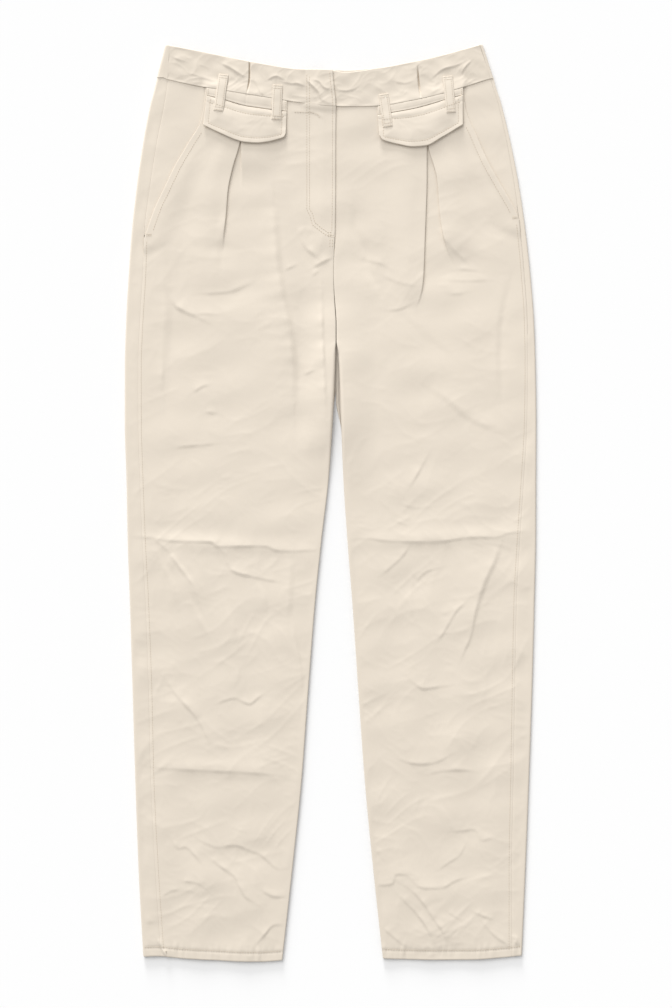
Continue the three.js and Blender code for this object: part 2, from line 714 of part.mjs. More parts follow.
// A closed wall of cloth round a grid of middle points. A curled edge keeps turning up to its last column.
function wall(grid, thickness, curled) {
  const rows = grid.length;
  const columns = grid[0].length;
  const direction = (a, b) => (a && b ? new THREE.Vector3().subVectors(b, a).normalize() : new THREE.Vector3());
  const outside = [];
  const inside = [];
  for (let j = 0; j < rows; j += 1) {
    for (let i = 0; i < columns; i += 1) {
      const point = grid[j][i];
      const before = direction(grid[j][i - 1], point);
      const after = direction(point, grid[j][i + 1]);
      const u = before.clone().add(after).normalize();
      if (curled && i === columns - 1) {
        const earlier = direction(grid[j][i - 2], grid[j][i - 1]).add(before).normalize();
        u.multiplyScalar(2 * earlier.dot(u)).sub(earlier);
      }
      const v = direction(grid[j - 1]?.[i], point).add(direction(point, grid[j + 1]?.[i])).normalize();
      const miter = before.lengthSq() && after.lengthSq() ? 1 / Math.max(u.dot(after), 0.8) : 1;
      const offset = u.cross(v).normalize().multiplyScalar((thickness(j) / 2) * miter);
      outside.push(point.clone().add(offset));
      inside.push(point.clone().sub(offset));
    }
  }
  const index = [];
  const quad = (a, b, c, d) => index.push(a, b, c, a, c, d);
  const at = (j, i) => j * columns + i;
  const under = rows * columns;
  const rim = (a, b) => quad(a, under + a, under + b, b);
  for (let j = 0; j < rows - 1; j += 1) {
    for (let i = 0; i < columns - 1; i += 1) {
      quad(at(j, i), at(j, i + 1), at(j + 1, i + 1), at(j + 1, i));
      quad(under + at(j, i), under + at(j + 1, i), under + at(j + 1, i + 1), under + at(j, i + 1));
    }
  }
  for (let i = 0; i < columns - 1; i += 1) {
    rim(at(0, i), at(0, i + 1));
    rim(at(rows - 1, i + 1), at(rows - 1, i));
  }
  for (let j = 0; j < rows - 1; j += 1) {
    rim(at(j + 1, 0), at(j, 0));
    rim(at(j, columns - 1), at(j + 1, columns - 1));
  }
  const points = [...outside, ...inside];
  if (enclosedVolume(points, index) < 0) index.reverse();
  const geometry = new THREE.BufferGeometry();
  geometry.setAttribute("position", new THREE.Float32BufferAttribute(points.flatMap((p) => p.toArray()), 3));
  geometry.setIndex(index);
  geometry.computeVertexNormals();
  return geometry;
}

const trousers = new THREE.Group();
const clothColour = new THREE.Color(0xe9decc);

function addPiece(name, sign, rows, thickness, curled = false) {
  const grid = rows.map((row) => row.map((p) => new THREE.Vector3(sign * p.across, p.y, p.z)));
  const material = new THREE.MeshStandardMaterial({ color: clothColour, roughness: 0.85, metalness: 0 });
  const mesh = new THREE.Mesh(wall(grid, thickness, curled), material);
  mesh.name = name;
  trousers.add(mesh);
}

for (const side of [right, left]) {
  const legWall = (j) => wallAt(stations[j]);
  const sideStations = stations.filter((station) => station >= side.sidePieceEnd);
  addPiece(`front_${side.name}`, side.sign, stations.map((station) => frontRow(side, station)), legWall, true);
  addPiece(`back_${side.name}`, side.sign, stations.map((station) => backRow(side, station)), legWall, true);
  addPiece(`pocket_side_${side.name}`, side.sign, sideStations.map((station) => sidePieceRow(side, station)), () => twill);
  addPiece(`waistband_front_${side.name}`, side.sign, bandRows(side), () => doubledTwill);
  addPiece(`welt_${side.name}`, side.sign, weltRows(side), () => twill);
  addPiece(`flap_${side.name}`, side.sign, flapRows(side), () => doubledTwill);
}
addPiece("waistband_back", 1, backBandRows(), () => doubledTwill);
for (const strap of frontLoops) addPiece(strap.name, 1, loopRows(strap), () => loop.wall);
for (const strap of backLoops) addPiece(strap.name, 1, backLoopRows(strap), () => loop.wall);

// The origin is the middle of the underside.
const box = new THREE.Box3().setFromObject(trousers);
const middle = box.getCenter(new THREE.Vector3());
for (const mesh of trousers.children) mesh.geometry.translate(-middle.x, -middle.y, -box.min.z);

export default trousers;
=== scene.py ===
import math

import bpy
import numpy as np
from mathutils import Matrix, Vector
from mathutils.bvhtree import BVHTree


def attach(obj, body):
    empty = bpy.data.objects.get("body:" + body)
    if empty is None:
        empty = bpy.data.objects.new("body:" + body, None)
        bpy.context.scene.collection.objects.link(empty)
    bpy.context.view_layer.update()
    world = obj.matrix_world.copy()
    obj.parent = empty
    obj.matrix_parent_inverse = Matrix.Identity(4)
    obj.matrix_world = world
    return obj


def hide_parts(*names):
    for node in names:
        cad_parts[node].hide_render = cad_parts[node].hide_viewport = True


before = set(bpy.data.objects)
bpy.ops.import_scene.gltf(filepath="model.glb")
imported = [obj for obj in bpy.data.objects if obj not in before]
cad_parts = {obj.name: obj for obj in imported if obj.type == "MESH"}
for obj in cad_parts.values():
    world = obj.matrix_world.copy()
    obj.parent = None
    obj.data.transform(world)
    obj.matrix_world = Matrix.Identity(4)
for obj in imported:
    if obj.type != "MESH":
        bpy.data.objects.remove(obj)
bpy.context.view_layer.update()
scene = bpy.context.scene

# Sizes that the pieces share
cloth = {
    "twill": 1.0,
    "doubled": 1.6,
    "seamGap": 0.3,
    "seamLap": 0.15,
    "layerGap": 0.35,
    "frontLevel": 3.0,
    "bandLevel": 4.0,
    "waistRise": 0.6,
    "waistSeamY": 435.5,
    "hemY": -504.0,
    "hemDepth": 10.5,
    "frontCrotchY": 176.0,
}
fly = {"endY": 297.0, "underlap": 9.0, "lapRun": 12.0, "lapRamp": 19.0, "fade": 26.0, "joinRise": 1.15}
pocket = {
    "underlap": 11.0, "ramp": 26.0, "gape": 0.9, "gapeRun": 13.0, "rightEndY": 288.0, "leftEndY": 304.0,
    "rowStep": 2.2, "columns": 40, "edge": 0.4, "run": 2.0,
}
pleat = {
    "tuck": 11.0, "openRun": 56.0, "ply": 1.05, "facets": 6, "spread": 46.0, "waistLift": 0.6,
    "easeBelow": 40.0, "easeAbove": 75.0, "easeRun": 9.0,
    "slitDepth": 3.5, "slitEdge": 0.45, "slitRun": 1.15, "rightSlitTop": 1.15, "leftSlitTop": 0.86,
}


def table(columns, rows):
    names = columns.split(" ")
    return {name: np.array([row[i] for row in rows], float) for i, name in enumerate(names)}


def mix(a, b, t):
    return a + (b - a) * t


# 1 in the middle, fading on both sides over about the width
def bell(value, width):
    return np.exp(-((value / width) ** 2))


# 0 at low and 1 at high, with a smooth climb between; low may be the larger of the two.
def smooth(low, high, value):
    t = np.clip((value - low) / (high - low), 0, 1)
    return t * t * (3 - 2 * t)


# A smooth curve through one column of a table against another, with no overshoot between rows
def curve(rows, along, value):
    order = np.argsort(rows[along])
    xs, ys = rows[along][order], rows[value][order]
    slope = np.diff(ys) / np.diff(xs)
    before = np.concatenate([slope[:1], slope])
    after = np.concatenate([slope, slope[-1:]])
    same = before * after > 0
    tangent = np.where(same, 2 * before * after / np.where(same, before + after, 1), 0)

    def at(x):
        s = np.clip(x, xs[0], xs[-1])
        i = np.clip(np.searchsorted(xs, s) - 1, 0, len(xs) - 2)
        run = xs[i + 1] - xs[i]
        t = (s - xs[i]) / run
        bend = run * t * (1 - t) * (tangent[i] * (1 - t) - tangent[i + 1] * t)
        return mix(ys[i], ys[i + 1], t * t * (3 - 2 * t)) + bend

    return at


# Outline of each leg: the outer fold, the outseam that shows inside it, and the inner edge
rightLeg = table("y outer seam inner", [
    (505, 181.5, 177.4, -1.5), (470, 190.6, 179.0, -2.8), (457, 193.6, 180.0, -4.1),
    (440, 198.0, 182.6, -5.8),
    (400, 205.7, 190.5, -5.5), (350, 213.0, 198.5, -5.4), (300, 218.6, 204.7, -4.8),
    (250, 222.2, 206.6, -3.4),
    (200, 225.0, 209.6, -6.2), (150, 226.4, 211.5, -5.2), (90, 226.5, 211.4, -2.5), (25, 224.6, 209.5, 2.2),
    (-40, 223.3, 207.0, 9.8), (-105, 221.0, 203.6, 16.5), (-205, 217.9, 199.9, 24.4),
    (-305, 214.9, 197.5, 31.8),
    (-405, 211.2, 192.5, 42.2), (-504, 205.8, 186.0, 53.2),
])
leftLeg = table("y outer seam inner", [
    (505, 167.3, 164.2, 1.5), (470, 178.5, 175.3, 2.8), (457, 182.3, 178.8, 4.1), (440, 187.9, 184.3, 5.8),
    (400, 197.6, 193.4, 5.5), (350, 207.4, 202.2, 5.4), (300, 214.7, 208.6, 4.8), (250, 220.1, 213.2, 3.4),
    (200, 224.0, 216.4, 6.2), (150, 225.7, 217.2, 9.4), (90, 226.5, 216.4, 11.6), (25, 226.2, 212.8, 14.3),
    (-40, 226.0, 208.6, 18.6), (-105, 224.6, 205.0, 23.7), (-205, 222.0, 203.0, 30.6),
    (-305, 218.5, 201.3, 37.7),
    (-405, 214.6, 199.6, 47.3), (-504, 210.2, 199.6, 58.0),
])

# The waist from the wearer's right to left: top edge, seam below the band, and dip of the front's top
waistRows = table("x top seam dip", [
    (-197, 506.5, 470.4, 0.3), (-181, 504.3, 466.4, 0.3), (-159, 500.4, 461.5, 0.3),
    (-137, 496.0, 457.1, 0.3),
    (-106, 489.6, 451.8, 0.3), (-71, 482.9, 446.2, 0.3), (-36, 478.0, 440.9, 0.3), (0, 477.0, 436.7, 0.5),
    (17, 476.5, 436.2, 2.6), (35, 477.6, 436.3, 1.8), (52, 479.0, 436.9, 0.4), (88, 485.2, 442.2, 0.3),
    (123, 493.0, 450.2, 0.3), (146, 499.4, 457.3, 0.3), (167, 505.2, 464.2, 0.3), (196, 513.0, 472.4, 0.3),
])

# Slant pocket mouths, from the waist seam to where they meet the outseam
rightMouth = table("y mouth", [
    (470, 136.0), (456, 137.5), (423, 142.0), (392, 159.0), (370, 171.8), (346, 183.2), (326, 192.8),
    (305, 200.6), (290, 206.0), (272, 232.0),
])
leftMouth = table("y mouth", [
    (470, 145.0), (456, 146.0), (434, 148.5), (404, 160.8), (375, 173.7), (346, 189.8), (322, 203.5),
    (308, 210.0), (290, 236.0),
])

# Pleat fold edges, from the top of the waistband down
rightPleat = table("y outerFold innerFold", [
    (500, 89.6, 88.6), (468, 90.0, 89.0), (450, 92.4, 91.4), (430, 94.4, 93.4), (396, 99.8, 98.4),
    (366, 108.4, 98.0), (344, 112.8, 97.4), (316, 115.0, 92.0), (294, 117.2, 88.0), (210, 122.0, 80.0),
])
leftPleat = table("y outerFold innerFold", [
    (500, 95.6, 94.6), (468, 97.6, 96.6), (444, 100.2, 99.2), (393, 107.4, 106.0), (357, 117.0, 106.0),
    (316, 120.5, 104.8), (289, 125.0, 103.8), (260, 136.0, 102.8), (238, 145.0, 101.4), (200, 150.0, 89.0),
])

# Lower edge of each welt, and the outline of the flap that hangs from it
rightWelt = table("across y", [(47.9, 431.0), (73, 433.8), (94, 437.0), (117, 443.6), (136.2, 448.4)])
rightFlap = table("across y", [
    (49.2, 406.0), (51.5, 402.4), (58, 400.0), (70, 397.0), (81.5, 395.8), (94, 396.6), (104, 399.2),
    (120, 406.0), (140.0, 415.6),
])
leftWelt = table("across y", [
    (51.8, 427.4), (67, 429.6), (86, 432.6), (101, 436.2), (125, 443.2), (145.6, 449.0),
])
leftFlap = table("across y", [
    (53.6, 404.4), (57.2, 399.6), (65, 396.8), (75, 394.4), (90, 391.6), (105, 392.8), (121, 401.2),
    (145.6, 416.0),
])

# Hem line of each leg
rightHem = table("across rise", [
    (53, 0.8), (77, -0.7), (100, -0.5), (127, 0.9), (162, 2.8), (192, 5.4), (206, 4.8),
])
leftHem = table("across rise", [(58, 2.8), (80, 2.0), (113, 1.4), (152, 1.5), (192, 4.1), (210, 6.2)])

# Belt loops: the middle of both ends of those on the front, and the middle line of those on the back
frontLoops = [
    ("belt_loop_right_outer", -117.4, 471.4, -123.2, 430.6),
    ("belt_loop_right_inner", -58.0, 460.0, -59.6, 421.2),
    ("belt_loop_left_inner", 58.2, 450.0, 63.3, 413.4),
    ("belt_loop_left_outer", 128.7, 469.6, 132.5, 428.8),
]
backLoops = [("belt_loop_back_right", -112.0), ("belt_loop_back_centre", 3.0), ("belt_loop_back_left", 116.0)]

# Rows of stitching that hold the fly on the right front, and the short rows at its foot
flyStitches = [
    [(-26.1, 472), (-26.1, 323), (-22.3, 316), (-20.1, 306.6), (-11.1, 299.4), (-3.9, 294.3), (1.5, 294.8)],
    [(-23.2, 470), (-23.2, 324), (-19.6, 318), (-17.4, 309), (-9.4, 302.4), (-2.5, 297.5), (1.5, 298)],
    [(-40.2, 430.3), (-21.5, 430), (-13.8, 427.3), (-11.6, 423.7)],
    [(2.1, 291), (2.1, 281)],
    [(-0.7, 291), (-0.7, 281)],
]

# Largest folds of the fronts as laid, the same as the solids have
foldRows = table("x1 y1 x2 y2 bow width height", [
    (-70, 385, -40, 95, 6, 24, 1.1), (-44, 345, -36, 120, 9, 13, -0.7), (-128, 286, -92, 220, 12, 20, -0.5),
    (-165, 268, -98, 262, -14, 22, 0.7), (-190, 240, -182, 60, 4, 16, -0.6),
    (-160, 190, -70, 215, -10, 26, 0.6),
    (-222, -36, -8, -50, -3, 9, 0.8), (-180, -58, -110, -170, 12, 22, 0.8),
    (-112, -50, -48, -92, 16, 20, -0.7),
    (-170, -205, -120, -275, -6, 18, 0.7), (-214, -288, -32, -298, 2, 9, 0.7),
    (-180, -372, -72, -446, -8, 18, 0.8), (-140, -372, -42, -404, 6, 18, -0.6),
    (24, 345, 44, 235, -5, 16, -0.8),
    (52, 262, 92, 232, -6, 20, -0.6), (124, 250, 190, 110, 8, 24, 0.9), (64, 205, 160, 70, 10, 30, 0.8),
    (188, 250, 200, 60, 4, 16, 0.6), (22, -46, 222, -36, 4, 9, 0.8), (84, -98, 140, -58, 6, 18, -0.7),
    (136, -150, 190, -52, 4, 20, 0.9), (90, -290, 170, -225, -6, 24, 0.7), (76, -392, 118, -478, 8, 18, 0.8),
    (104, -420, 150, -372, 6, 20, -0.6),
])

# How strongly the cloth is creased, and how smooth the thighs are beside the lower legs
crease = {"height": 0.94, "crisp": 0.8, "crumple": 0.17, "fine": 0.07, "wave": 0.31, "smoothest": 0.6}

# Creases: width of the steep side, width of the soft side, height, and the line of the steep side.
# The soft side lies on the left of the line's direction.
frontCreases = [
    (2.0, 9, 0.9, [(-36, 304), (-29, 283), (-14, 269)]),
    (1.0, 4, 0.5, [(-41, 430), (-22, 430), (-14, 427), (-8, 422)]),
    (1.8, 8, 0.8, [(-19, 259), (-8, 265), (3, 270)]),
    (1.8, 6, 0.5, [(-20, 249), (-13, 256)]),
    (1.8, 6, 0.4, [(-50, 256), (-37, 262)]),
    (2.2, 7, 0.4, [(38, 267), (47, 265), (56, 263), (69, 255)]),
    (2.2, 8, 0.4, [(58, 250), (68, 245), (79, 241), (92, 239)]),
    (2.0, 8, 0.45, [(63, 212), (76, 213), (93, 221)]),
    (2.0, 9, 0.4, [(129, 254), (143, 257), (163, 255)]),
    (2.0, 9, 0.35, [(127, 245), (149, 244), (174, 245)]),
    (2.0, 8, 0.5, [(122, 242), (134, 230), (147, 231)]),
    (5.0, 14, 0.4, [(80, 207), (96, 195), (111, 181), (134, 162)]),
    (5.0, 14, 0.6, [(108, 126), (130, 112), (150, 94), (182, 79)]),
    (2.0, 9, 0.9, [(-180, 242), (-173, 220), (-162, 211), (-148, 205), (-137, 199)]),
    (1.8, 6, 0.5, [(-147, 207), (-138, 208), (-128, 207)]),
    (2.0, 9, 0.6, [(-137, 230), (-123, 231), (-108, 233), (-86, 243)]),
    (1.8, 7, 0.5, [(-150, 122), (-141, 128), (-133, 130)]),
    (1.8, 7, 0.4, [(-138, 100), (-125, 98)]),
    (2.0, 8, 0.5, [(-29, 141), (-15, 147)]),
    (2.2, 6, 0.4, [(-184, 124), (-184, 141), (-184, 157)]),
    (2.0, 9, 0.5, [(-170, 61), (-149, 63), (-126, 65)]),
    (1.7, 8, 0.7, [
        (-221, -37), (-195, -39), (-175, -42), (-133, -43), (-125, -48), (-98, -48), (-71, -48), (-56, -53),
        (-12, -52),
    ]),
    (1.8, 8, 0.7, [(-125, -48), (-118, -55), (-109, -74), (-83, -82), (-57, -87)]),
    (2.0, 9, 0.7, [(-194, -40), (-179, -53), (-162, -77), (-148, -94)]),
    (1.7, 8, 0.6, [
        (21, -41), (38, -39), (63, -42), (89, -43), (118, -43), (155, -38), (182, -38), (198, -33),
        (226, -32),
    ]),
    (1.8, 7, 0.6, [(58, -78), (66, -71), (79, -59), (87, -47)]),
    (1.8, 7, 0.5, [(95, -86), (105, -76), (122, -71)]),
    (4.0, 12, 1.3, [(159, -128), (163, -110), (171, -86), (180, -67), (187, -48)]),
    (1.7, 6, 0.45, [(72, -20), (85, -25)]),
    (1.7, 6, 0.45, [(79, -2), (92, -5)]),
    (2.0, 8, 0.6, [(87, 17), (95, 30), (108, 54)]),
    (1.7, 8, 0.45, [(-201, -290), (-185, -292), (-155, -294), (-111, -296), (-78, -298), (-46, -301)]),
    (2.0, 9, 0.8, [(-181, -196), (-170, -211), (-148, -236), (-137, -256), (-133, -267)]),
    (1.8, 7, 0.6, [
        (-125, -221), (-115, -217), (-105, -215), (-96, -219), (-88, -221), (-79, -214), (-70, -208),
    ]),
    (3.0, 8, 0.8, [(-30, -204), (-32, -181), (-37, -155), (-41, -132)]),
    (2.0, 8, 0.7, [(120, -150), (128, -137), (138, -120), (148, -110)]),
    (2.0, 8, 0.7, [(143, -173), (149, -160), (155, -145), (160, -119), (164, -107)]),
    (1.8, 8, 0.6, [(86, -193), (100, -204), (115, -203), (131, -201)]),
    (1.8, 8, 0.6, [(73, -281), (92, -287), (114, -286), (131, -278)]),
    (1.8, 8, 0.5, [(109, -298), (134, -294), (160, -295)]),
    (1.8, 7, 0.6, [(-174, -372), (-168, -380), (-159, -379), (-151, -386), (-142, -397)]),
    (1.8, 8, 0.6, [
        (-144, -371), (-134, -376), (-124, -379), (-105, -377), (-91, -382), (-76, -388), (-60, -402),
        (-48, -402),
    ]),
    (2.0, 9, 0.75, [(-133, -391), (-117, -403), (-106, -411), (-100, -423), (-93, -434), (-80, -442)]),
    (1.8, 7, 0.5, [(-162, -416), (-145, -419), (-136, -426)]),
    (1.8, 7, 0.5, [(-185, -433), (-177, -428), (-167, -425)]),
    (1.8, 7, 0.6, [(-76, -426), (-63, -433), (-46, -433)]),
    (1.8, 8, 0.7, [(-83, -487), (-73, -476), (-63, -465), (-49, -465)]),
    (1.6, 6, 0.4, [(-204, -462), (-193, -461)]),
    (1.4, 4, 1.7, [(-191, -479), (-187, -488), (-181, -499), (-178, -504)]),
    (1.2, 3, 0.9, [(199, -478), (209, -481)]),
    (1.2, 3, 0.9, [(200, -483), (210, -485)]),
    (1.8, 7, 0.4, [(48, -380), (57, -391)]),
    (1.8, 7, 0.6, [(51, -421), (68, -419), (72, -409), (86, -409)]),
    (2.0, 9, 0.75, [(78, -419), (91, -428), (103, -442), (112, -456), (123, -471), (128, -482), (137, -484)]),
    (1.9, 8, 0.8, [(77, -434), (94, -451), (106, -468), (115, -485)]),
    (1.8, 8, 0.5, [(86, -411), (97, -422), (111, -424), (125, -423), (137, -416), (154, -411)]),
    (1.8, 7, 0.45, [(120, -403), (130, -396), (142, -388), (149, -375)]),
    (1.8, 7, 0.45, [(131, -362), (145, -361), (159, -360), (166, -371), (180, -368)]),
    (1.8, 7, 0.6, [(58, -468), (78, -485), (85, -488)]),
    (1.8, 7, 0.5, [(129, -450), (143, -459)]),
    (1.8, 7, 0.5, [(157, -450), (169, -455), (180, -459)]),
    (1.8, 7, 0.6, [(166, -460), (180, -476), (196, -487)]),
    (6.0, 19, 2.7, [(-39, 112), (-39, 150), (-43, 190), (-50, 222), (-56, 258), (-59, 296), (-61, 330)]),
    (6.0, 9, -0.9, [(25, 325), (25, 299), (35, 276), (39, 256), (52, 234)]),
    (2.5, 7, 1.3, [(-4, 95), (-6, 140), (-8, 185), (-9, 238)]),
    (9.0, 15, 0.8, [(-108, 277), (-132, 275), (-160, 278)]),
    (7.0, 13, 1.0, [(-183, 120), (-181, 170), (-178, 215), (-181, 255), (-186, 290)]),
    (5.0, 14, -0.9, [(196, 243), (188, 210), (185, 163), (187, 110)]),
    (2.2, 9, 0.75, [(119, 305), (124, 291), (133, 280), (149, 265)]),
    (4.0, 11, 0.7, [(-163, -121), (-172, -90), (-184, -65), (-194, -44)]),
    (3.0, 9, 0.7, [(-141, -112), (-148, -94), (-158, -77), (-170, -63), (-180, -51)]),
    (3.0, 9, 0.6, [(-69, -121), (-72, -102), (-79, -87)]),
    (5.0, 11, 0.7, [(-45, -128), (-43, -94), (-42, -60)]),
    (4.0, 10, 0.7, [(-133, -144), (-144, -124), (-154, -104)]),
    (4.0, 9, 0.6, [(-102, -155), (-105, -137), (-113, -112)]),
]
bandCreases = [
    (1.6, 5, 0.7, [(-120, 483), (-110, 478), (-100, 471), (-94, 469)]),
    (1.4, 5, 0.5, [(-84, 466), (-80, 457), (-75, 447)]),
    (1.4, 5, 0.8, [(-27, 476), (-25, 464), (-14, 452), (-11, 444), (-4, 440)]),
    (1.3, 4, 0.5, [(-20, 465), (-13, 463), (-7, 456), (0, 455)]),
    (1.4, 4, 0.6, [(-53, 463), (-43, 461), (-37, 461), (-28, 458)]),
    (1.4, 4, 0.5, [(-69, 465), (-60, 469), (-51, 465)]),
    (1.4, 5, 0.6, [(112, 467), (123, 476), (139, 481), (150, 487)]),
    (1.3, 4, 0.5, [(144, 472), (149, 480), (155, 486)]),
    (1.3, 4, 0.4, [(-173, 490), (-166, 487), (-159, 485)]),
    (1.6, 6, 0.4, [(-155, 472), (-139, 467), (-126, 463)]),
    (1.5, 5, 0.4, [(7, 454), (18, 453), (28, 456), (34, 461)]),
    (1.5, 5, 0.35, [(71, 463), (82, 461), (92, 464)]),
]

waistTop = curve(waistRows, "x", "top")
waistSeam = curve(waistRows, "x", "seam")
waistDip = curve(waistRows, "x", "dip")
aboveCrotch = leftLeg["y"] > cloth["frontCrotchY"]
centreFront = curve({key: column[aboveCrotch] for key, column in leftLeg.items()}, "y", "inner")


def makeSide(name, sign, leg, mouth, folds, welt, flap, hem, ends):
    return {
        "name": name,
        "sign": sign,
        "outer": curve(leg, "y", "outer"),
        "seam": curve(leg, "y", "seam"),
        "inner": curve(leg, "y", "inner"),
        "mouth": curve(mouth, "y", "mouth"),
        "outerFold": curve(folds, "y", "outerFold"),
        "innerFold": curve(folds, "y", "innerFold"),
        "weltEdge": curve(welt, "across", "y"),
        "flapEdge": curve(flap, "across", "y"),
        "weltSpan": (welt["across"][0], welt["across"][-1]),
        "flapSpan": (flap["across"][0], flap["across"][-1]),
        "hem": curve(hem, "across", "rise"),
        "mouthEndY": ends[0],
        "outerEndY": ends[1],
        "innerEndY": ends[2],
    }


# Y where the pocket mouth, the outer fold and the inner fold end
rightEnds, leftEnds = (292, 272, 346), (311, 262, 212)
right = makeSide("right", -1, rightLeg, rightMouth, rightPleat, rightWelt, rightFlap, rightHem, rightEnds)
left = makeSide("left", 1, leftLeg, leftMouth, leftPleat, leftWelt, leftFlap, leftHem, leftEnds)
sides = (right, left)

# The legs reach a little above the waist seam, under the waistband.
firstStation = cloth["waistSeamY"] + 1.2


def rowY(side, across, station):
    waist = waistSeam(side["sign"] * across) - cloth["waistSeamY"]
    waist = waist * smooth(240, cloth["waistSeamY"], station)
    hem = side["hem"](across) * smooth(-400, cloth["hemY"], station)
    return station + waist + hem


def onRow(side, boundary, station):
    across = boundary(station)
    for _ in range(8):
        across = boundary(rowY(side, across, station))
    return across


# Height of the largest folds at given points
def foldHeights(x, y):
    total = np.zeros(np.shape(x))
    for i in range(len(foldRows["x1"])):
        x1, y1, x2, y2, bow, width, height = (foldRows[key][i] for key in foldRows)
        dx, dy = x2 - x1, y2 - y1
        length = math.hypot(dx, dy)
        t = ((x - x1) * dx + (y - y1) * dy) / length**2
        inside = np.clip(t, 0, 1)
        off = ((y - y1) * dx - (x - x1) * dy) / length - bow * 4 * inside * (1 - inside)
        total += height * bell(off, width) * np.sin(np.pi * inside) ** 0.8
    return total


# The same line with rounded corners, through all of its points
def softened(points):
    if len(points) < 3:
        return points
    first, last = 2 * points[0] - points[1], 2 * points[-1] - points[-2]
    p = np.concatenate([[first], points, [last]])
    parts = []
    for t in (0, 0.25, 0.5, 0.75):
        a, b, c, d = p[:-3], p[1:-2], p[2:-1], p[3:]
        parts.append(b + 0.5 * t * (c - a + t * (2 * a - 5 * b + 4 * c - d + t * (3 * (b - c) + d - a))))
    return np.concatenate([np.stack(parts, axis=1).reshape(-1, 2), points[-1:]])


# Height of the finer creases at given points
def creaseHeights(rows, x, y):
    total = np.zeros(np.shape(x))
    for steep, soft, height, line in rows:
        reach = 3 * soft
        points = softened(np.array(line, float))
        low, high = points.min(axis=0) - reach, points.max(axis=0) + reach
        near = (x > low[0]) & (x < high[0]) & (y > low[1]) & (y < high[1])
        if not near.any():
            continue
        px, py = x[near], y[near]
        steps = np.diff(points, axis=0)
        lengths = np.hypot(steps[:, 0], steps[:, 1])
        starts = np.concatenate([[0], np.cumsum(lengths)[:-1]])
        best = np.full(px.shape, 1e9)
        offset = np.zeros(px.shape)
        along = np.zeros(px.shape)
        for (ax, ay), (dx, dy), size, start in zip(points[:-1], steps, lengths, starts):
            t = np.clip(((px - ax) * dx + (py - ay) * dy) / size**2, 0, 1)
            ex, ey = px - ax - t * dx, py - ay - t * dy
            distance = np.hypot(ex, ey)
            closer = distance < best
            best = np.where(closer, distance, best)
            side = np.sign(dx * ey - dy * ex)
            offset = np.where(closer, side * distance, offset)
            along = np.where(closer, start + t * size, along)
        t = along / lengths.sum()
        crisp = steep * crease["crisp"]
        peak = offset - 0.8 * crisp
        fade = np.sin(np.pi * np.clip(t, 0.02, 0.98)) ** 0.6
        uneven = 0.3 if steep < 3 else 0.1
        fade = fade * (1 + uneven * np.sin(along * 0.17 + line[0][0]) + 0.4 * uneven * np.sin(along * 0.43))
        crest = np.where(peak < 0, smooth(-1.9 * crisp, 0, peak), np.exp(-np.abs(peak) / (0.8 * soft)))
        total[near] += height * crest * fade
    return total


# Small unevenness of laid cloth, from a few seeded waves
def ripples(x, y, seed, wavelength, height):
    rng = np.random.default_rng(seed)
    total = np.zeros(np.shape(x))
    for _ in range(9):
        angle = rng.uniform(0, np.pi)
        size = wavelength * rng.uniform(0.6, 1.6)
        phase = rng.uniform(0, 2 * np.pi)
        total += np.sin((x * np.cos(angle) + y * np.sin(angle)) * 2 * np.pi / size + phase)
    return total * height / 3


# Short creases of crumpled cloth with sharp tops, from seeded and bent waves that come and go
def crumple(x, y, seed, size, height):
    rng = np.random.default_rng(seed)
    bentX = x + ripples(x, y, seed + 1, size * 3.2, size * 0.45)
    bentY = y + ripples(x, y, seed + 2, size * 3.2, size * 0.45)
    total = np.zeros(np.shape(x))
    for k in range(6):
        angle = rng.uniform(0, np.pi)
        wave = (bentX * np.cos(angle) + bentY * np.sin(angle)) * np.pi / (size * rng.uniform(0.7, 1.5))
        ridge = (1 - np.abs(np.sin(wave + rng.uniform(0, np.pi)))) ** 2
        total += ridge * smooth(0.0, 1.0, ripples(x, y, seed + 5 + k, size * 2.6, 1.0))
    return height * (total - 0.5)


# 1 where a flap or a welt lies on the front, and 0 away from it
def covered(x, y):
    total = np.zeros(np.shape(x))
    for side in sides:
        across = side["sign"] * x
        first, last = side["flapSpan"]
        inside = smooth(first - 7, first + 2, across) * smooth(last + 7, last - 2, across)
        total += inside * smooth(side["flapEdge"](across) - 7, side["flapEdge"](across) + 4, y)
    return total


# Dip along the outseams and along the middle seam below the fly, where the edges are joined
def seamDip(x, y):
    onRight = x < centreFront(y)
    offset = np.where(onRight, right["seam"](y) + x, left["seam"](y) - x)
    middle = np.where(y > cloth["frontCrotchY"] - 8, x - centreFront(y), 99)
    middle = np.where(y > fly["endY"], 99, middle)
    return -0.12 * bell(offset, 1.5) - 0.15 * bell(middle, 1.6)


crotch = {"puff": 2.4, "low": 15.0, "full": 100.0, "above": 250.0, "parting": 0.55}


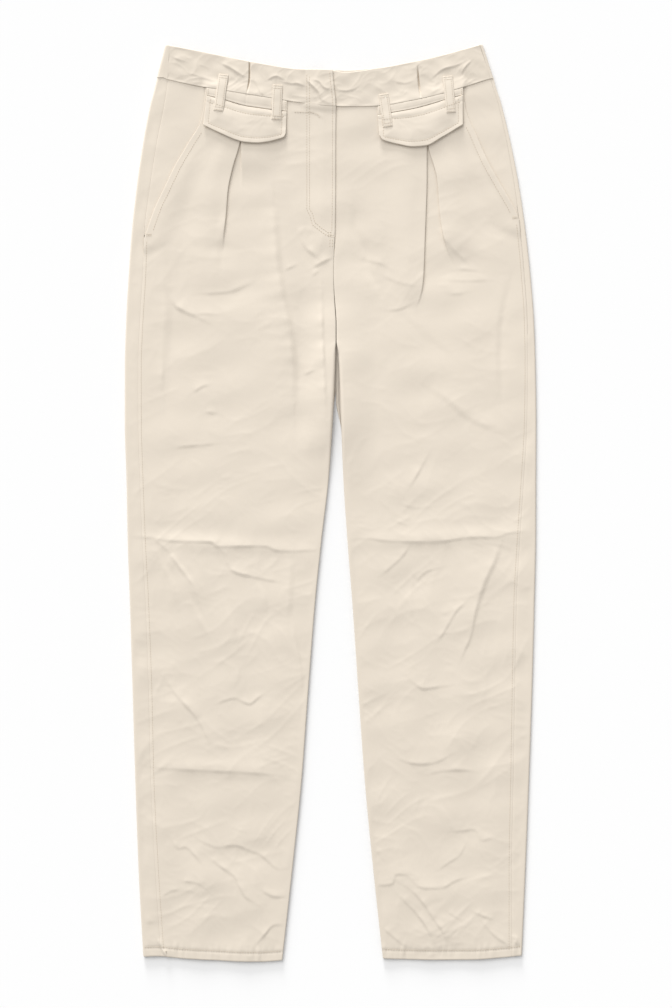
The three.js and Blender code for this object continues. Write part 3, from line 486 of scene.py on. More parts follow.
# Middle of the front's wall before anything is tucked beneath it, with or without the finer creases
def frontBase(x, y, fine=True):
    onRight = x < centreFront(y)
    toOuter = np.where(onRight, right["outer"](y) + x, left["outer"](y) - x)
    beside = np.where(onRight, -x - right["inner"](y), x - left["inner"](y))
    toInner = beside + 99 * smooth(cloth["frontCrotchY"] - 4, cloth["frontCrotchY"] + 40, y)
    rise = cloth["waistRise"] * smooth(waistSeam(x) - 45, waistSeam(x), y)
    calm = smooth(3, 22, toOuter) * smooth(2, 20, toInner)
    z = cloth["frontLevel"] + rise + np.clip(foldHeights(x, y), -0.9, 1.9) * calm
    if fine:
        near = smooth(0, 9, toOuter) * smooth(0.5, 7, toInner) * (1 - 0.92 * covered(x, y))
        z = z + foldHeights(x, y) * 0.12 * calm + creaseHeights(frontCreases, x, y) * crease["height"] * near
        worn = mix(crease["smoothest"], 1, smooth(90, -60, y))
        rough = crumple(x, y, 40, 30, crease["crumple"]) + crumple(x, y, 60, 13, crease["fine"])
        z = z + (ripples(x, y, 3, 58, crease["wave"]) + rough * worn) * near + seamDip(x, y)
        z = z + 2 * crotchPuff(y) * smooth(42, 2, beside)
    return z


# The legs stand up beside the crotch gap, by twice this
def crotchPuff(y):
    return crotch["puff"] * smooth(crotch["low"], crotch["full"], y) * smooth(crotch["above"], 120, y)


# Section of a fold edge, as steps inboard and down from the upper layer: back, along the tuck, forward
def foldProfile(endY, y):
    closedY = endY + pleat["openRun"]
    turn = np.maximum(np.pi * smooth(endY, closedY, y), 1e-3)[:, None]
    tuck = (pleat["tuck"] * np.clip((y - closedY) / (cloth["waistSeamY"] - closedY), 0, 1))[:, None]
    radius = np.pi * pleat["ply"] / 2 / turn
    angle = turn * np.linspace(0, 1, pleat["facets"] + 1)
    inward, down = radius * np.sin(angle), radius * (1 - np.cos(angle))
    x0 = inward[:, -1:] + tuck * np.cos(turn)
    z0 = down[:, -1:] + tuck * np.sin(turn)
    back = turn - angle
    inward2 = x0 + radius * (np.sin(turn) - np.sin(back))
    down2 = z0 + radius * (np.cos(back) - np.cos(turn))
    middle = mix(inward[:, -1:], x0, 0.5), mix(down[:, -1:], z0, 0.5)
    reach = (radius * np.sin(np.minimum(turn, np.pi / 2)))[:, 0]
    inward = np.concatenate([inward, middle[0], inward2], axis=1)
    down = np.concatenate([down, middle[1], down2], axis=1)
    return inward, down, down[:, -1], reach


def foldDrop(endY, y):
    flat = np.ravel(y)
    return foldProfile(endY, flat)[2].reshape(np.shape(y))


# Rise of the cloth over the folds beneath it. Beside the right leg's outer fold it ends more gently.
def pleatLift(side, across, y):
    outerDrop, innerDrop = foldDrop(side["outerEndY"], y), foldDrop(side["innerEndY"], y)
    fromOuter, fromInner = across - side["outerFold"](y), side["innerFold"](y) - across
    low, high = side["outerEndY"] - pleat["easeBelow"], side["outerEndY"] + pleat["easeAbove"]
    gentle = 2 * pleat["ply"] * smooth(low, high, y)
    eased = mix(outerDrop, gentle, smooth(0, pleat["easeRun"], fromOuter)) if side is right else outerDrop
    outer = eased * (1 - smooth(pleat["tuck"] + 3, pleat["spread"], fromOuter))
    inner = innerDrop * (1 - smooth(pleat["tuck"] + 3, pleat["spread"], fromInner))
    between = np.maximum(outerDrop, innerDrop)
    return np.where(fromOuter >= 0, outer, np.where(fromInner >= 0, inner, between))


def overlapLift(side, across, y):
    inside = side["mouth"](y) - pocket["underlap"] - pocket["ramp"]
    beside = smooth(inside, inside + pocket["ramp"], across)
    beside = beside * smooth(side["mouthEndY"] - 30, side["mouthEndY"] - 6, y)
    if side is left:
        near = smooth(side["mouth"](y) - pocket["gapeRun"], side["mouth"](y) - 1, across)
        gape = pocket["gape"] * near * smooth(305, 350, y) * smooth(415, 375, y)
        return (cloth["twill"] + cloth["layerGap"]) * beside + gape
    fromEdge = centreFront(y) + across
    over = 1 - smooth(fly["lapRun"], fly["lapRun"] + fly["lapRamp"], fromEdge)
    over = over * smooth(fly["endY"] - 3 - fly["fade"], fly["endY"] - 3, y)
    return (cloth["twill"] + cloth["layerGap"]) * np.maximum(beside, over)


def frontTop(side, across, y, fine=False):
    lift = pleatLift(side, across, y) + overlapLift(side, across, y)
    return frontBase(side["sign"] * across, y, fine) + lift + cloth["twill"] / 2


made = {}


# Mesh from a grid of points in millimetres
def addGrid(node, points):
    rows, columns = points.shape[:2]
    index = np.arange(rows * columns).reshape(rows, columns)
    quads = np.stack([index[:-1, :-1], index[:-1, 1:], index[1:, 1:], index[1:, :-1]], axis=-1).reshape(-1, 4)
    a, b, c = (points.reshape(-1, 3)[quads[:, k]] for k in range(3))
    if np.cross(b - a, c - a)[:, 2].sum() < 0:
        quads = quads[:, ::-1]
    made[node] = addMesh(node + "_cloth", points.reshape(-1, 3), quads, node)


def addMesh(name, points, quads, node):
    mesh = bpy.data.meshes.new(name)
    mesh.vertices.add(len(points))
    mesh.vertices.foreach_set("co", (points / 1000).ravel())
    mesh.loops.add(quads.size)
    mesh.loops.foreach_set("vertex_index", quads.ravel().astype(np.int32))
    mesh.polygons.add(len(quads))
    mesh.polygons.foreach_set("loop_start", np.arange(0, quads.size, 4, dtype=np.int32))
    mesh.polygons.foreach_set("use_smooth", np.ones(len(quads), dtype=bool))
    mesh.update()
    mesh.validate()
    obj = bpy.data.objects.new(name, mesh)
    scene.collection.objects.link(obj)
    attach(obj, "root")
    if node:
        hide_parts(node)
    return obj


# Rounds one edge of a grid under itself, within its own outline. It faces up at the place given.
def turnUnder(points, edge, radius, run, facets=4, top=None):
    flipped = edge in ("first row", "last row")
    grid = points.transpose(1, 0, 2) if flipped else points
    if edge in ("first row", "first column"):
        grid = grid[:, ::-1]
    out = grid[:, -1] - grid[:, -2]
    out /= np.linalg.norm(out, axis=1, keepdims=True)
    along = np.gradient(grid[:, -1], axis=0)
    up = np.cross(out, along)
    up /= np.linalg.norm(up, axis=1, keepdims=True)
    up *= np.sign(up[len(up) // 2 if top is None else top, 2])
    size = np.where(up[:, 2:] < -0.3, 0.4, 1.0) * radius
    start = grid[:, -1] - size * out
    rounds = [start]
    for k in range(1, facets + 1):
        angle = np.pi * k / facets
        rounds.append(start + size * math.sin(angle) * out - size * (1 - math.cos(angle)) * up)
    rounds.append(start - run * out - 2 * size * up)
    grid = np.concatenate([grid[:, :-1], np.stack(rounds, axis=1)], axis=1)
    if edge in ("first row", "first column"):
        grid = grid[:, ::-1]
    return grid.transpose(1, 0, 2) if flipped else grid


columnEdges = ("first column", "last column")
allEdges = columnEdges + ("first row", "last row")


def turnEdges(points, edges, radius, run):
    for edge in edges:
        points = turnUnder(points, edge, radius, run)
    return points


def place(side, across, y, z):
    return np.stack([side["sign"] * across, y, z], axis=-1)


# Leg fronts
front = {
    "rows": 600, "outerColumns": 44, "middleColumns": 8, "innerColumns": 56, "edge": 0.45, "underRun": 2.5,
    "rightMouthEdge": 0.3, "leftMouthEdge": 0.45, "mouthRun": 3.0, "hemEdge": 0.7, "hemRun": 6.0,
}


# The hem lies a little lower, with a groove at its stitching and the small puckers that this draws up.
def hemShape(side, across, y):
    line = cloth["hemY"] + side["hem"](across) + cloth["hemDepth"]
    inHem = smooth(line + 0.8, line - 0.8, y)
    pull = smooth(line + 9, line, y) * (0.35 + 0.65 * smooth(line - 12, line, y))
    pucker = ripples(across, y * 0.18, 21, 8, 0.2) + ripples(across, y * 0.1, 22, 4.4, 0.08)
    groove = -0.3 * bell(y - line + 0.6, 1.2)
    return -0.3 * inHem + pull * pucker + groove


def frontGrid(side):
    station = np.linspace(firstStation, cloth["hemY"], front["rows"])
    sign = side["sign"]
    wrap = smooth(cloth["frontCrotchY"] + 3, cloth["frontCrotchY"] - 14, station)
    radius = (cloth["frontLevel"] - cloth["twill"] / 2 - cloth["seamGap"]) / 2 + crotchPuff(station)
    edge = front["edge"]
    lap = fly["underlap"] * smooth(fly["endY"] + 3, fly["endY"] + 8, station) if side is left else 0

    def outboard(y):
        return np.minimum(side["mouth"](y), side["seam"](y) + cloth["seamLap"])

    def inboard(y):
        middle = sign * centreFront(np.maximum(y, cloth["frontCrotchY"])) - cloth["seamLap"] - lap + edge
        parted = crotch["parting"] * (0.4 * smooth(294, 286, y) + 0.6 * smooth(252, 205, y))
        return mix(middle + parted, side["inner"](y) + radius, wrap)

    start, finish = onRow(side, outboard, station), onRow(side, inboard, station)
    outerAt, innerAt = onRow(side, side["outerFold"], station), onRow(side, side["innerFold"], station)
    outerY, innerY = rowY(side, outerAt, station), rowY(side, innerAt, station)
    outerIn, outerDown, outerDrop, outerReach = foldProfile(side["outerEndY"], outerY)
    innerIn, innerDown, innerDrop, innerReach = foldProfile(side["innerEndY"], innerY)
    outerStart, innerStart = outerAt + outerReach, innerAt - innerReach
    t = np.linspace(0, 1, front["outerColumns"], endpoint=False)
    outerPart = mix(start[:, None], outerStart[:, None], t)
    outerArc = outerStart[:, None] - outerIn
    innerArc = (innerStart[:, None] + innerIn)[:, ::-1]
    t = np.linspace(0, 1, front["middleColumns"] + 2)[1:-1]
    middlePart = mix(outerArc[:, -1:], innerArc[:, :1], t)
    t = np.linspace(0, 1, front["innerColumns"] + 1)[1:]
    innerPart = mix(innerStart[:, None], finish[:, None], t)
    across = np.concatenate([outerPart, outerArc, middlePart, innerArc, innerPart], axis=1)
    rows = np.repeat(station[:, None], across.shape[1], axis=1)
    outerLift = pleatLift(side, outerPart, rowY(side, outerPart, rows[:, : outerPart.shape[1]]))
    innerLift = pleatLift(side, innerPart, rowY(side, innerPart, rows[:, : innerPart.shape[1]]))
    lift = np.concatenate([
        outerLift, outerDrop[:, None] - outerDown, np.zeros(middlePart.shape),
        (innerDrop[:, None] - innerDown)[:, ::-1], innerLift,
    ], axis=1)
    even = smooth(205, 150, station)[:, None]
    t = np.linspace(0, 1, across.shape[1])
    across = mix(across, mix(start[:, None], finish[:, None], t), even)
    y = rowY(side, across, rows)
    z = frontBase(sign * across, y) + overlapLift(side, across, y) + lift * (1 - even) + cloth["twill"] / 2
    z = z + hemShape(side, across, y)
    if side is right:
        level = smooth(waistSeam(-across) - 8, waistSeam(-across) - 1, y) * smooth(34, 24, across)
        z = z + fly["joinRise"] * level
    return place(side, across, y, z), wrap, radius


# The inner edge turns down to the inseam on the legs, and turns under itself above the crotch.
def innerEdge(points, wrap, radius, sign, turn):
    edge = front["edge"]
    count = 6
    rounds = []
    for k in range(1, count + 1):
        quarter = np.pi / 2 * k / count
        half = np.pi * min(k / (count - 1), 1)
        legIn, legDown = radius * math.sin(quarter), radius * (1 - math.cos(quarter))
        lapIn, lapDown = edge * math.sin(half), edge * (1 - math.cos(half))
        if k == count:
            lapIn -= front["underRun"]
        inward = mix(lapIn, legIn, wrap)
        down = mix(lapDown, legDown, wrap)
        rounds.append(points[:, -1] + np.stack([-sign * inward, 0 * inward, -turn * down], axis=-1))
    return np.concatenate([points, np.stack(rounds, axis=1)], axis=1)


for side in sides:
    points, wrap, radius = frontGrid(side)
    points = innerEdge(points, wrap, radius, side["sign"], 1)
    points = turnUnder(points, "last row", front["hemEdge"], front["hemRun"])
    points = turnUnder(points, "first column", front[side["name"] + "MouthEdge"], front["mouthRun"])
    addGrid("front_" + side["name"], points)
print("leg fronts made")

# Leg backs
back = {
    "stripColumns": 14, "foldFacets": 10, "flatColumns": 60, "rows": 480, "level": 0.5,
    "rightOpensY": (128, 106), "leftOpensY": (114, 78), "hemEdge": 0.5,
}


def loopLift(x, y):
    below = waistSeam(x) - y
    along = 1 - np.clip((below - 15) / 4, 0, 1)
    beside = np.zeros(np.shape(x))
    for _, loopX in backLoops:
        beside = np.maximum(beside, 1 - np.clip((np.abs(x - loopX) - 6.5) / 4, 0, 1))
    return 1.5 * along * beside


# Dents of the underside, which can only rise from the surface that it lies on
def backDents(x, y):
    mirrored = creaseHeights(frontCreases, -x, y * 0.97 - 9)
    return np.clip(mirrored * 0.7 + ripples(x, y, 8, 60, 0.18), 0, 1.0)


def backGrid(side):
    station = np.linspace(firstStation, cloth["hemY"], back["rows"])
    sign = side["sign"]
    seamAt = onRow(side, lambda y: side["seam"](y) - cloth["seamLap"], station)
    edgeAt = onRow(side, side["outer"], station)
    foldTop = frontBase(sign * (edgeAt - 1.75), rowY(side, edgeAt, station)) + cloth["twill"] / 2
    radius = foldTop / 2
    foldAt = edgeAt - radius
    seamAt = np.minimum(seamAt, foldAt - 0.6)
    t = np.linspace(0, 1, back["stripColumns"], endpoint=False)
    strip = mix(seamAt[:, None], foldAt[:, None], t)
    rows = np.repeat(station[:, None], strip.shape[1], axis=1)
    stripY = rowY(side, strip, rows)
    stripZ = frontBase(sign * strip, stripY) + cloth["twill"] / 2 + hemShape(side, strip, stripY)
    angle = np.linspace(0, np.pi, back["foldFacets"] + 1)
    arc = foldAt[:, None] + radius[:, None] * np.sin(angle)
    arcY = np.repeat(rowY(side, foldAt, station)[:, None], arc.shape[1], axis=1)
    arcZ = radius[:, None] * (1 + np.cos(angle))
    wrap = smooth(*back[side["name"] + "OpensY"], station)
    quarter = (cloth["frontLevel"] - back["level"] - cloth["seamGap"]) / 2

    def inboard(y):
        middle = sign * centreFront(np.maximum(y, cloth["frontCrotchY"])) - cloth["seamLap"] + front["edge"]
        return mix(middle, side["inner"](y) + quarter + 0.5, wrap)

    finish = onRow(side, inboard, station)
    t = np.linspace(0, 1, back["flatColumns"] + 1)[1:]
    flat = mix(foldAt[:, None], finish[:, None], t)
    rows = np.repeat(station[:, None], flat.shape[1], axis=1)
    flatY = rowY(side, flat, rows)
    inward = np.minimum(smooth(0, 14, foldAt[:, None] - flat), smooth(0, 14, flat - finish[:, None]))
    flatZ = loopLift(sign * flat, flatY) + backDents(sign * flat, flatY) * inward * smooth(-500, -470, flatY)
    across = np.concatenate([strip, arc, flat], axis=1)
    y = np.concatenate([stripY, arcY, flatY], axis=1)
    z = np.concatenate([stripZ, arcZ, flatZ], axis=1)
    points = place(side, across, y, z)
    return innerEdge(points, wrap, np.full(station.shape, quarter + 0.5), sign, -1)


for side in sides:
    points = turnUnder(backGrid(side), "last row", back["hemEdge"], front["hemRun"], top=5)
    points = turnUnder(points, "first column", front["edge"], front["mouthRun"])
    addGrid("back_" + side["name"], points)
print("leg backs made")


# Side pieces that show in the slant pocket mouths
def sidePieceGrid(side):
    station = np.arange(firstStation, pocket[side["name"] + "EndY"], -pocket["rowStep"])
    outboard = onRow(side, lambda y: side["seam"](y) + cloth["seamLap"], station)
    inboard = onRow(side, lambda y: side["mouth"](y) - pocket["underlap"], station)
    across = mix(outboard[:, None], inboard[:, None], np.linspace(0, 1, pocket["columns"]))
    y = rowY(side, across, np.repeat(station[:, None], pocket["columns"], axis=1))
    z = frontBase(side["sign"] * across, y) + cloth["twill"] / 2
    return place(side, across, y, z)


for side in sides:
    points = turnUnder(sidePieceGrid(side), "first column", pocket["edge"], pocket["run"])
    addGrid("pocket_side_" + side["name"], points)
print("pocket side pieces made")

# Waistband
band = {
    "rows": 40, "outerColumns": 80, "innerColumns": 90, "nearFold": 9.0, "edge": 0.7, "lowerEdge": 0.3,
    "run": 2.5, "crease": 1.6, "crumple": 0.21, "overWelt": 1.3, "overRun": 0.35,
}
backBand = {"rows": 22, "columns": 150, "facets": 8, "edge": 0.8, "run": 3.0}


def bandSeam(side, y):
    return np.minimum(side["seam"](y), side["outer"](y) - 3.0)


def foldMiddle(side, y):
    return (side["outerFold"](y) + side["innerFold"](y)) / 2


# Across and Y of a column of the waistband that keeps to a boundary
def settle(side, boundary, rows, startY, dip=None):
    v = np.linspace(0, 1, rows)
    across = boundary(np.full(rows, startY))
    for _ in range(8):
        x = side["sign"] * across
        y = mix(waistSeam(x), waistTop(x) - (dip(x) if dip else 0), v)
        across = boundary(y)
    return across, y


def bandHeight(side, across, y):
    x = side["sign"] * across
    up = np.clip((y - waistSeam(x)) / (waistTop(x) - waistSeam(x)), 0, 1)
    fold = foldMiddle(side, y)
    beside = np.abs(across - fold)
    over = 2.7 * pleat["waistLift"] * mix(1, 0.3, up) * (1 - smooth(8, pleat["spread"], beside))
    width = np.where(across > fold, pleat["slitEdge"], pleat["slitRun"])
    closed = pleat[side["name"] + "SlitTop"]
    opened = 0.15 + 0.85 * smooth(0.02, 0.45, up) * smooth(closed, closed - 0.3, up)
    opened = opened * smooth(closed + 0.02, closed - 0.04, up) * smooth(0.01, 0.09, up)
    slit = pleat["slitDepth"] * bell(beside, width) * opened
    first, last = side["weltSpan"]
    onWelt = smooth(first - 6, first + 1, across) * smooth(last + 6, last - 1, across)
    level = frontTop(side, across, waistSeam(x)) + band["overWelt"]
    level = level - cloth["bandLevel"] - cloth["doubled"] / 2
    over = over + np.maximum(level - over, 0) * onWelt * smooth(band["overRun"], 0, up)
    lap = 0
    if side is right:
        clear = smooth(fly["lapRun"], fly["lapRun"] + fly["lapRamp"], centreFront(y) - x)
        lap = (cloth["doubled"] + cloth["layerGap"]) * (1 - clear)
    fine = creaseHeights(bandCreases, x, y) * band["crease"] + ripples(x, y, 5, 24, 0.2)
    fine = fine + crumple(x, y, 80, 13, band["crumple"])
    fine = fine * smooth(0, 0.08, up) * smooth(1, 0.92, up)
    return cloth["bandLevel"] + cloth["doubled"] / 2 + over - slit + lap + fine


def bandGrid(side):
    lap = fly["underlap"] if side is left else 0
    near = band["nearFold"]
    steps = np.concatenate([np.arange(0, 3, 0.25), np.arange(3, near, 0.75)])

    def outerColumn(y, t):
        return mix(bandSeam(side, y) + cloth["seamLap"], foldMiddle(side, y) + near, t)

    def foldColumn(y, t):
        return foldMiddle(side, y) + t

    def innerColumn(y, t):
        return mix(foldMiddle(side, y) - near, side["sign"] * centreFront(y) - lap, t)

    columns = [(outerColumn, t) for t in np.linspace(0, 1, band["outerColumns"], endpoint=False)]
    columns += [(foldColumn, t) for t in np.concatenate([steps[::-1], -steps[1:]])]
    columns += [(innerColumn, t) for t in np.linspace(0, 1, band["innerColumns"])]
    grid = [settle(side, lambda y: column(y, t), band["rows"], 470.0, waistDip) for column, t in columns]
    across, y = (np.stack(part, axis=1) for part in zip(*grid))
    return place(side, across, y, bandHeight(side, across, y))


for side in sides:
    points = turnEdges(bandGrid(side), columnEdges, band["edge"], band["run"])
    points = turnUnder(points, "first row", band["lowerEdge"], band["run"])
    points = turnUnder(points, "last row", band["edge"], band["run"])
    addGrid("waistband_front_" + side["name"], points)


def backBandGrid():
    level = cloth["bandLevel"] + cloth["doubled"] / 2
    radius = level / 2
    rows, facets = backBand["rows"], backBand["facets"]
    v = np.linspace(0, 1, rows)
    flat = np.full(rows, level)
    halves, ends = [], []
    for side in sides:
        seam, seamY = settle(side, lambda y: bandSeam(side, y) - cloth["seamLap"], rows, 480.0)
        fold, foldY = settle(side, lambda y: side["outer"](y) - radius, rows, 480.0)
        parts = [(seam, seamY, flat), (mix(seam, fold, 0.5), foldY, flat)]
        for k in range(facets + 1):
            angle = np.pi * k / facets
            height = np.full(rows, radius * (1 + math.cos(angle)))
            parts.append((fold + radius * math.sin(angle), foldY, height))
        halves.append([(side["sign"] * a, b, c) for a, b, c in parts])
        ends.append(side["sign"] * fold)
    middle = []
    for t in np.linspace(0, 1, backBand["columns"])[1:-1]:
        x = mix(ends[0], ends[1], t)
        y = mix(waistSeam(x), waistTop(x), v)
        dent = np.clip(ripples(x, y, 12, 26, 0.2), 0, 0.6) * math.sin(math.pi * t) ** 0.3
        middle.append((x, y, loopLift(x, y) + dent))
    columns = halves[0] + middle + halves[1][::-1]
    return np.stack([np.stack(column, axis=-1) for column in columns], axis=1)


points = turnUnder(backBandGrid(), "last row", backBand["edge"], backBand["run"], top=1)
addGrid("waistband_back", points[::-1])
print("waistband made")

# Welts and flaps
welt = {"rows": 10, "columns": 90, "lift": 1.35, "gap": 0.12, "edge": 0.5, "topEdge": 0.3, "run": 2.0}
flap = {
    "rows": 40, "columns": 90, "lift": 1.9, "gap": 0.5, "edge": 0.68, "run": 2.5, "billow": 0.7, "stand": 1.2,
    "edgeInset": 5.0, "topInset": 7.0, "grooveWidth": 1.1, "width": 90.0, "depth": 35.0,
}


def weltGrid(side):
    t = np.linspace(0, 1, welt["columns"])
    v = np.linspace(0, 1, welt["rows"])[:, None]
    across = np.repeat(mix(*side["weltSpan"], t)[None, :], welt["rows"], axis=0)
    y = mix(waistSeam(side["sign"] * across) - welt["gap"], side["weltEdge"](across), v)
    z = frontTop(side, across, y) + welt["lift"]
    z = z + ripples(across, y, 31, 12, 0.08) - 0.25 * bell(v - 0.82, 0.08)
    z = z - 0.3 * bell(across - side["outerFold"](y), 0.8) - 0.25 * bell(v, 0.16)
    return place(side, across, y, z)


def flapPoint(side, t, v):
    across = mix(mix(*side["weltSpan"], t), mix(*side["flapSpan"], t), v)
    top = side["weltEdge"](mix(*side["weltSpan"], t)) - flap["gap"]
    return across, mix(top, side["flapEdge"](mix(*side["flapSpan"], t)), v)


def flapGrid(side):
    t = np.linspace(0, 1, flap["columns"])
    v = np.linspace(0, 1, flap["rows"])[:, None]
    across, y = flapPoint(side, t, v)
    z = frontTop(side, across, y) + flap["lift"] + flap["stand"] * v**1.5
    inset = np.minimum(np.minimum(t, 1 - t) * flap["width"], (1 - v) * flap["depth"] + 0 * t)
    grooves = bell(inset - flap["edgeInset"], flap["grooveWidth"]) * smooth(0.05, 0.2, v)
    grooves = grooves + bell(v * flap["depth"] - flap["topInset"], flap["grooveWidth"])
    z = z + flap["billow"] * smooth(4, 16, inset) * smooth(0.15, 0.45, v) - 0.2 * np.minimum(grooves, 1)
    z = z - 0.6 * bell(v, 0.06) * smooth(0.01, 0.08, t) * smooth(0.99, 0.92, t)
    z = z + ripples(across, y, 33, 26, 0.26) + crumple(across, y, 90, 15, 0.12)
    return place(side, across, y, z)


for side in sides:
    points = turnEdges(weltGrid(side), columnEdges + ("last row",), welt["edge"], welt["run"])
    addGrid("welt_" + side["name"], turnUnder(points, "first row", welt["topEdge"], welt["run"]))
    addGrid("flap_" + side["name"], turnEdges(flapGrid(side), allEdges, flap["edge"], flap["run"]))
print("welts and flaps made")

# Belt loops
strap = {
    "width": 11.0, "wall": 0.7, "edge": 0.36, "run": 2.5, "rows": 44, "columns": 15, "arch": 0.3,
    "backRows": 24, "backColumns": 9, "backTop": 17.0, "backFoot": 13.0, "backEdge": 0.4, "backRun": 2.0,
}


# Surfaces of the given pieces together, to find the top one at a place
def treeOf(pieces):
    points, quads, start = [], [], 0
    for obj in pieces:
        mesh = obj.data
        co = np.empty(len(mesh.vertices) * 3)
        mesh.vertices.foreach_get("co", co)
        corners = np.empty(len(mesh.loops), dtype=np.int32)
        mesh.loops.foreach_get("vertex_index", corners)
        points.append(co.reshape(-1, 3) * 1000)
        quads.append(corners.reshape(-1, 4) + start)
        start += len(mesh.vertices)
    return BVHTree.FromPolygons(np.concatenate(points).tolist(), np.concatenate(quads).tolist())


def topAt(tree, x, y):
    hit = tree.ray_cast(Vector((x, y, 50)), Vector((0, 0, -1)))[0]
    return hit.z if hit else None


surfaces = treeOf([obj for name, obj in made.items() if not name.startswith("back")])


def loopGrid(x1, y1, x2, y2, seed):
    length = math.hypot(x2 - x1, y2 - y1)
    sideways = np.array([(y1 - y2) / length, (x2 - x1) / length])
    t = np.linspace(0, 1, strap["rows"])
    places = (-0.42, 0, 0.42)
    under = []
    for s in t:
        centre = np.array([mix(x1, x2, s), mix(y1, y2, s)])
        spots = [centre + sideways * strap["width"] * b for b in places]
        under.append([topAt(surfaces, *spot) or 4.5 for spot in spots])
    under = np.array(under)
    padded = np.pad(under, ((4, 4), (0, 0)), mode="edge")
    highest = np.max([padded[k : k + len(t)] for k in range(9)], axis=0)
    kernel = np.ones(15) / 15
    wide = np.pad(highest, ((7, 7), (0, 0)), mode="edge")
    level = np.stack([np.convolve(wide[:, k], kernel, mode="valid") for k in range(3)], axis=1)
    beside = np.linspace(-0.5, 0.5, strap["columns"])
    profile = np.stack([np.interp(beside, places, row) for row in level])
    rise = 0.05 + strap["wall"] + strap["arch"] * np.sin(np.pi * t)[:, None] ** 0.7
    groove = -0.14 * bell(np.abs(beside) - 0.34, 0.06) - 0.5 * np.abs(2 * beside) ** 6
    x = mix(x1, x2, t)[:, None] + beside * strap["width"] * sideways[0]
    y = mix(y1, y2, t)[:, None] + beside * strap["width"] * sideways[1]
    z = profile + rise + groove + ripples(x, y, seed, 14, 0.05)
    return np.stack([x, y, z], axis=-1)


for seed, (name, x1, y1, x2, y2) in enumerate(frontLoops):
    points = loopGrid(x1, y1, x2, y2, 50 + seed)
    addGrid(name, turnEdges(points, allEdges, strap["edge"], strap["run"]))
for name, loopX in backLoops:
    top = float(waistTop(loopX)) - strap["backTop"]
    bottom = float(waistSeam(loopX)) - strap["backFoot"]
    t = np.linspace(0, 1, strap["backRows"])[:, None]
    beside = np.linspace(-0.5, 0.5, strap["backColumns"])[None, :]
    x = loopX + beside * strap["width"] + 0 * t
    y = mix(top, bottom, t) + 0 * beside
    z = 0.15 * bell(np.abs(beside) - 0.33, 0.06) + 0 * t
    points = turnEdges(np.stack([x, y, z], axis=-1), allEdges, strap["backEdge"], strap["backRun"])
    points[..., 2] = 2 * z.min() - points[..., 2]
    addGrid(name, points)
print("belt loops made")


# Stitching, as rows of short threads that dip into the cloth at both ends
thread = {
    "pitch": 2.9, "length": 2.1, "radius": 0.26, "sides": 6, "proud": 0.1, "sunk": 0.12,
    "tackPitch": 1.5, "tackLength": 1.3, "steepest": 0.7, "rightMouthTop": 408.0, "leftMouthTop": 414.0,
}
stitchRows = []


def sew(line, pitch=None, length=None):
    stitchRows.append((np.array(line, float), pitch or thread["pitch"], length or thread["length"]))


# Two close rows that hold an end down
def tack(x1, y1, x2, y2, apart):
    size = math.hypot(x2 - x1, y2 - y1)
    ax, ay = (y1 - y2) / size * apart / 2, (x2 - x1) / size * apart / 2
    for k in (-1, 1):
        ends = [(x1 + k * ax, y1 + k * ay), (x2 + k * ax, y2 + k * ay)]
        sew(ends, thread["tackPitch"], thread["tackLength"])


def sewCurve(side, boundary, shift, high, low):
    ys = np.linspace(high, low, 120)
    sew(np.stack([side["sign"] * (boundary(ys) + shift), ys], axis=-1))


for side in sides:
    sign = side["sign"]
    sewCurve(side, side["seam"], -3.2, side["mouthEndY"] - 4, cloth["hemY"] + 12)
    sewCurve(side, side["mouth"], -7.2, thread[side["name"] + "MouthTop"], side["mouthEndY"] + 8)
    across = np.linspace(side["inner"](-490) + 3, side["outer"](-490) - 1.5, 80)
    sew(np.stack([sign * across, cloth["hemY"] + side["hem"](across) + cloth["hemDepth"]], axis=-1))
    inset, depth = flap["edgeInset"] / flap["width"], 1 - flap["edgeInset"] / flap["depth"]
    corner = [(inset, 0.06), (inset, depth)] + [(t, depth) for t in np.linspace(inset, 1 - inset, 30)]
    corner += [(1 - inset, depth), (1 - inset, 0.06)]
    points = [flapPoint(side, t, v) for t, v in corner]
    sew([(sign * a, b) for a, b in points])
    points = [flapPoint(side, t, flap["topInset"] / flap["depth"]) for t in np.linspace(0.03, 0.97, 30)]
    sew([(sign * a, b) for a, b in points])
    for end, step in zip(side["weltSpan"], (1.8, -1.8)):
        a = end + step
        sew([(sign * a, waistSeam(sign * a) - 1), (sign * a, side["weltEdge"](a) + 1)], 2.2, 1.6)
    a = side["mouth"](side["mouthEndY"] + 3)
    tack(sign * (a - 7), side["mouthEndY"] + 3, sign * (a - 1), side["mouthEndY"] + 3, 1.6)
ys = np.linspace(474, 299, 90)
sew(np.stack([centreFront(ys) - 3.4, ys], axis=-1))
for line in flyStitches:
    sew(line)
tack(-2.7, 294.6, 5.0, 293.4, 2.0)
for name, x1, y1, x2, y2 in frontLoops:
    size = math.hypot(x2 - x1, y2 - y1)
    ux, uy = (x2 - x1) / size, (y2 - y1) / size
    half = strap["width"] / 2 - 0.9
    for distance in (2.6, size - 2.8):
        cx, cy = x1 + ux * distance, y1 + uy * distance
        tack(cx - uy * half, cy + ux * half, cx + uy * half, cy - ux * half, 2.9)
    for k in (-1, 1):
        sx, sy = -uy * k * (half - 1.1), ux * k * (half - 1.1)
        sew([(x1 + ux * 5 + sx, y1 + uy * 5 + sy), (x2 - ux * 5 + sx, y2 - uy * 5 + sy)], 2.4, 1.7)


# The point at any distance along a line, and the middles of its stitches
def along(line, pitch):
    distances = np.concatenate([[0], np.cumsum(np.hypot(*np.diff(line, axis=0).T))])
    count = max(int(round(distances[-1] / pitch)), 1)

    def spot(s):
        return np.stack([np.interp(s, distances, line[:, k]) for k in (0, 1)], axis=-1)

    return spot, (np.arange(count) + 0.5) * distances[-1] / count


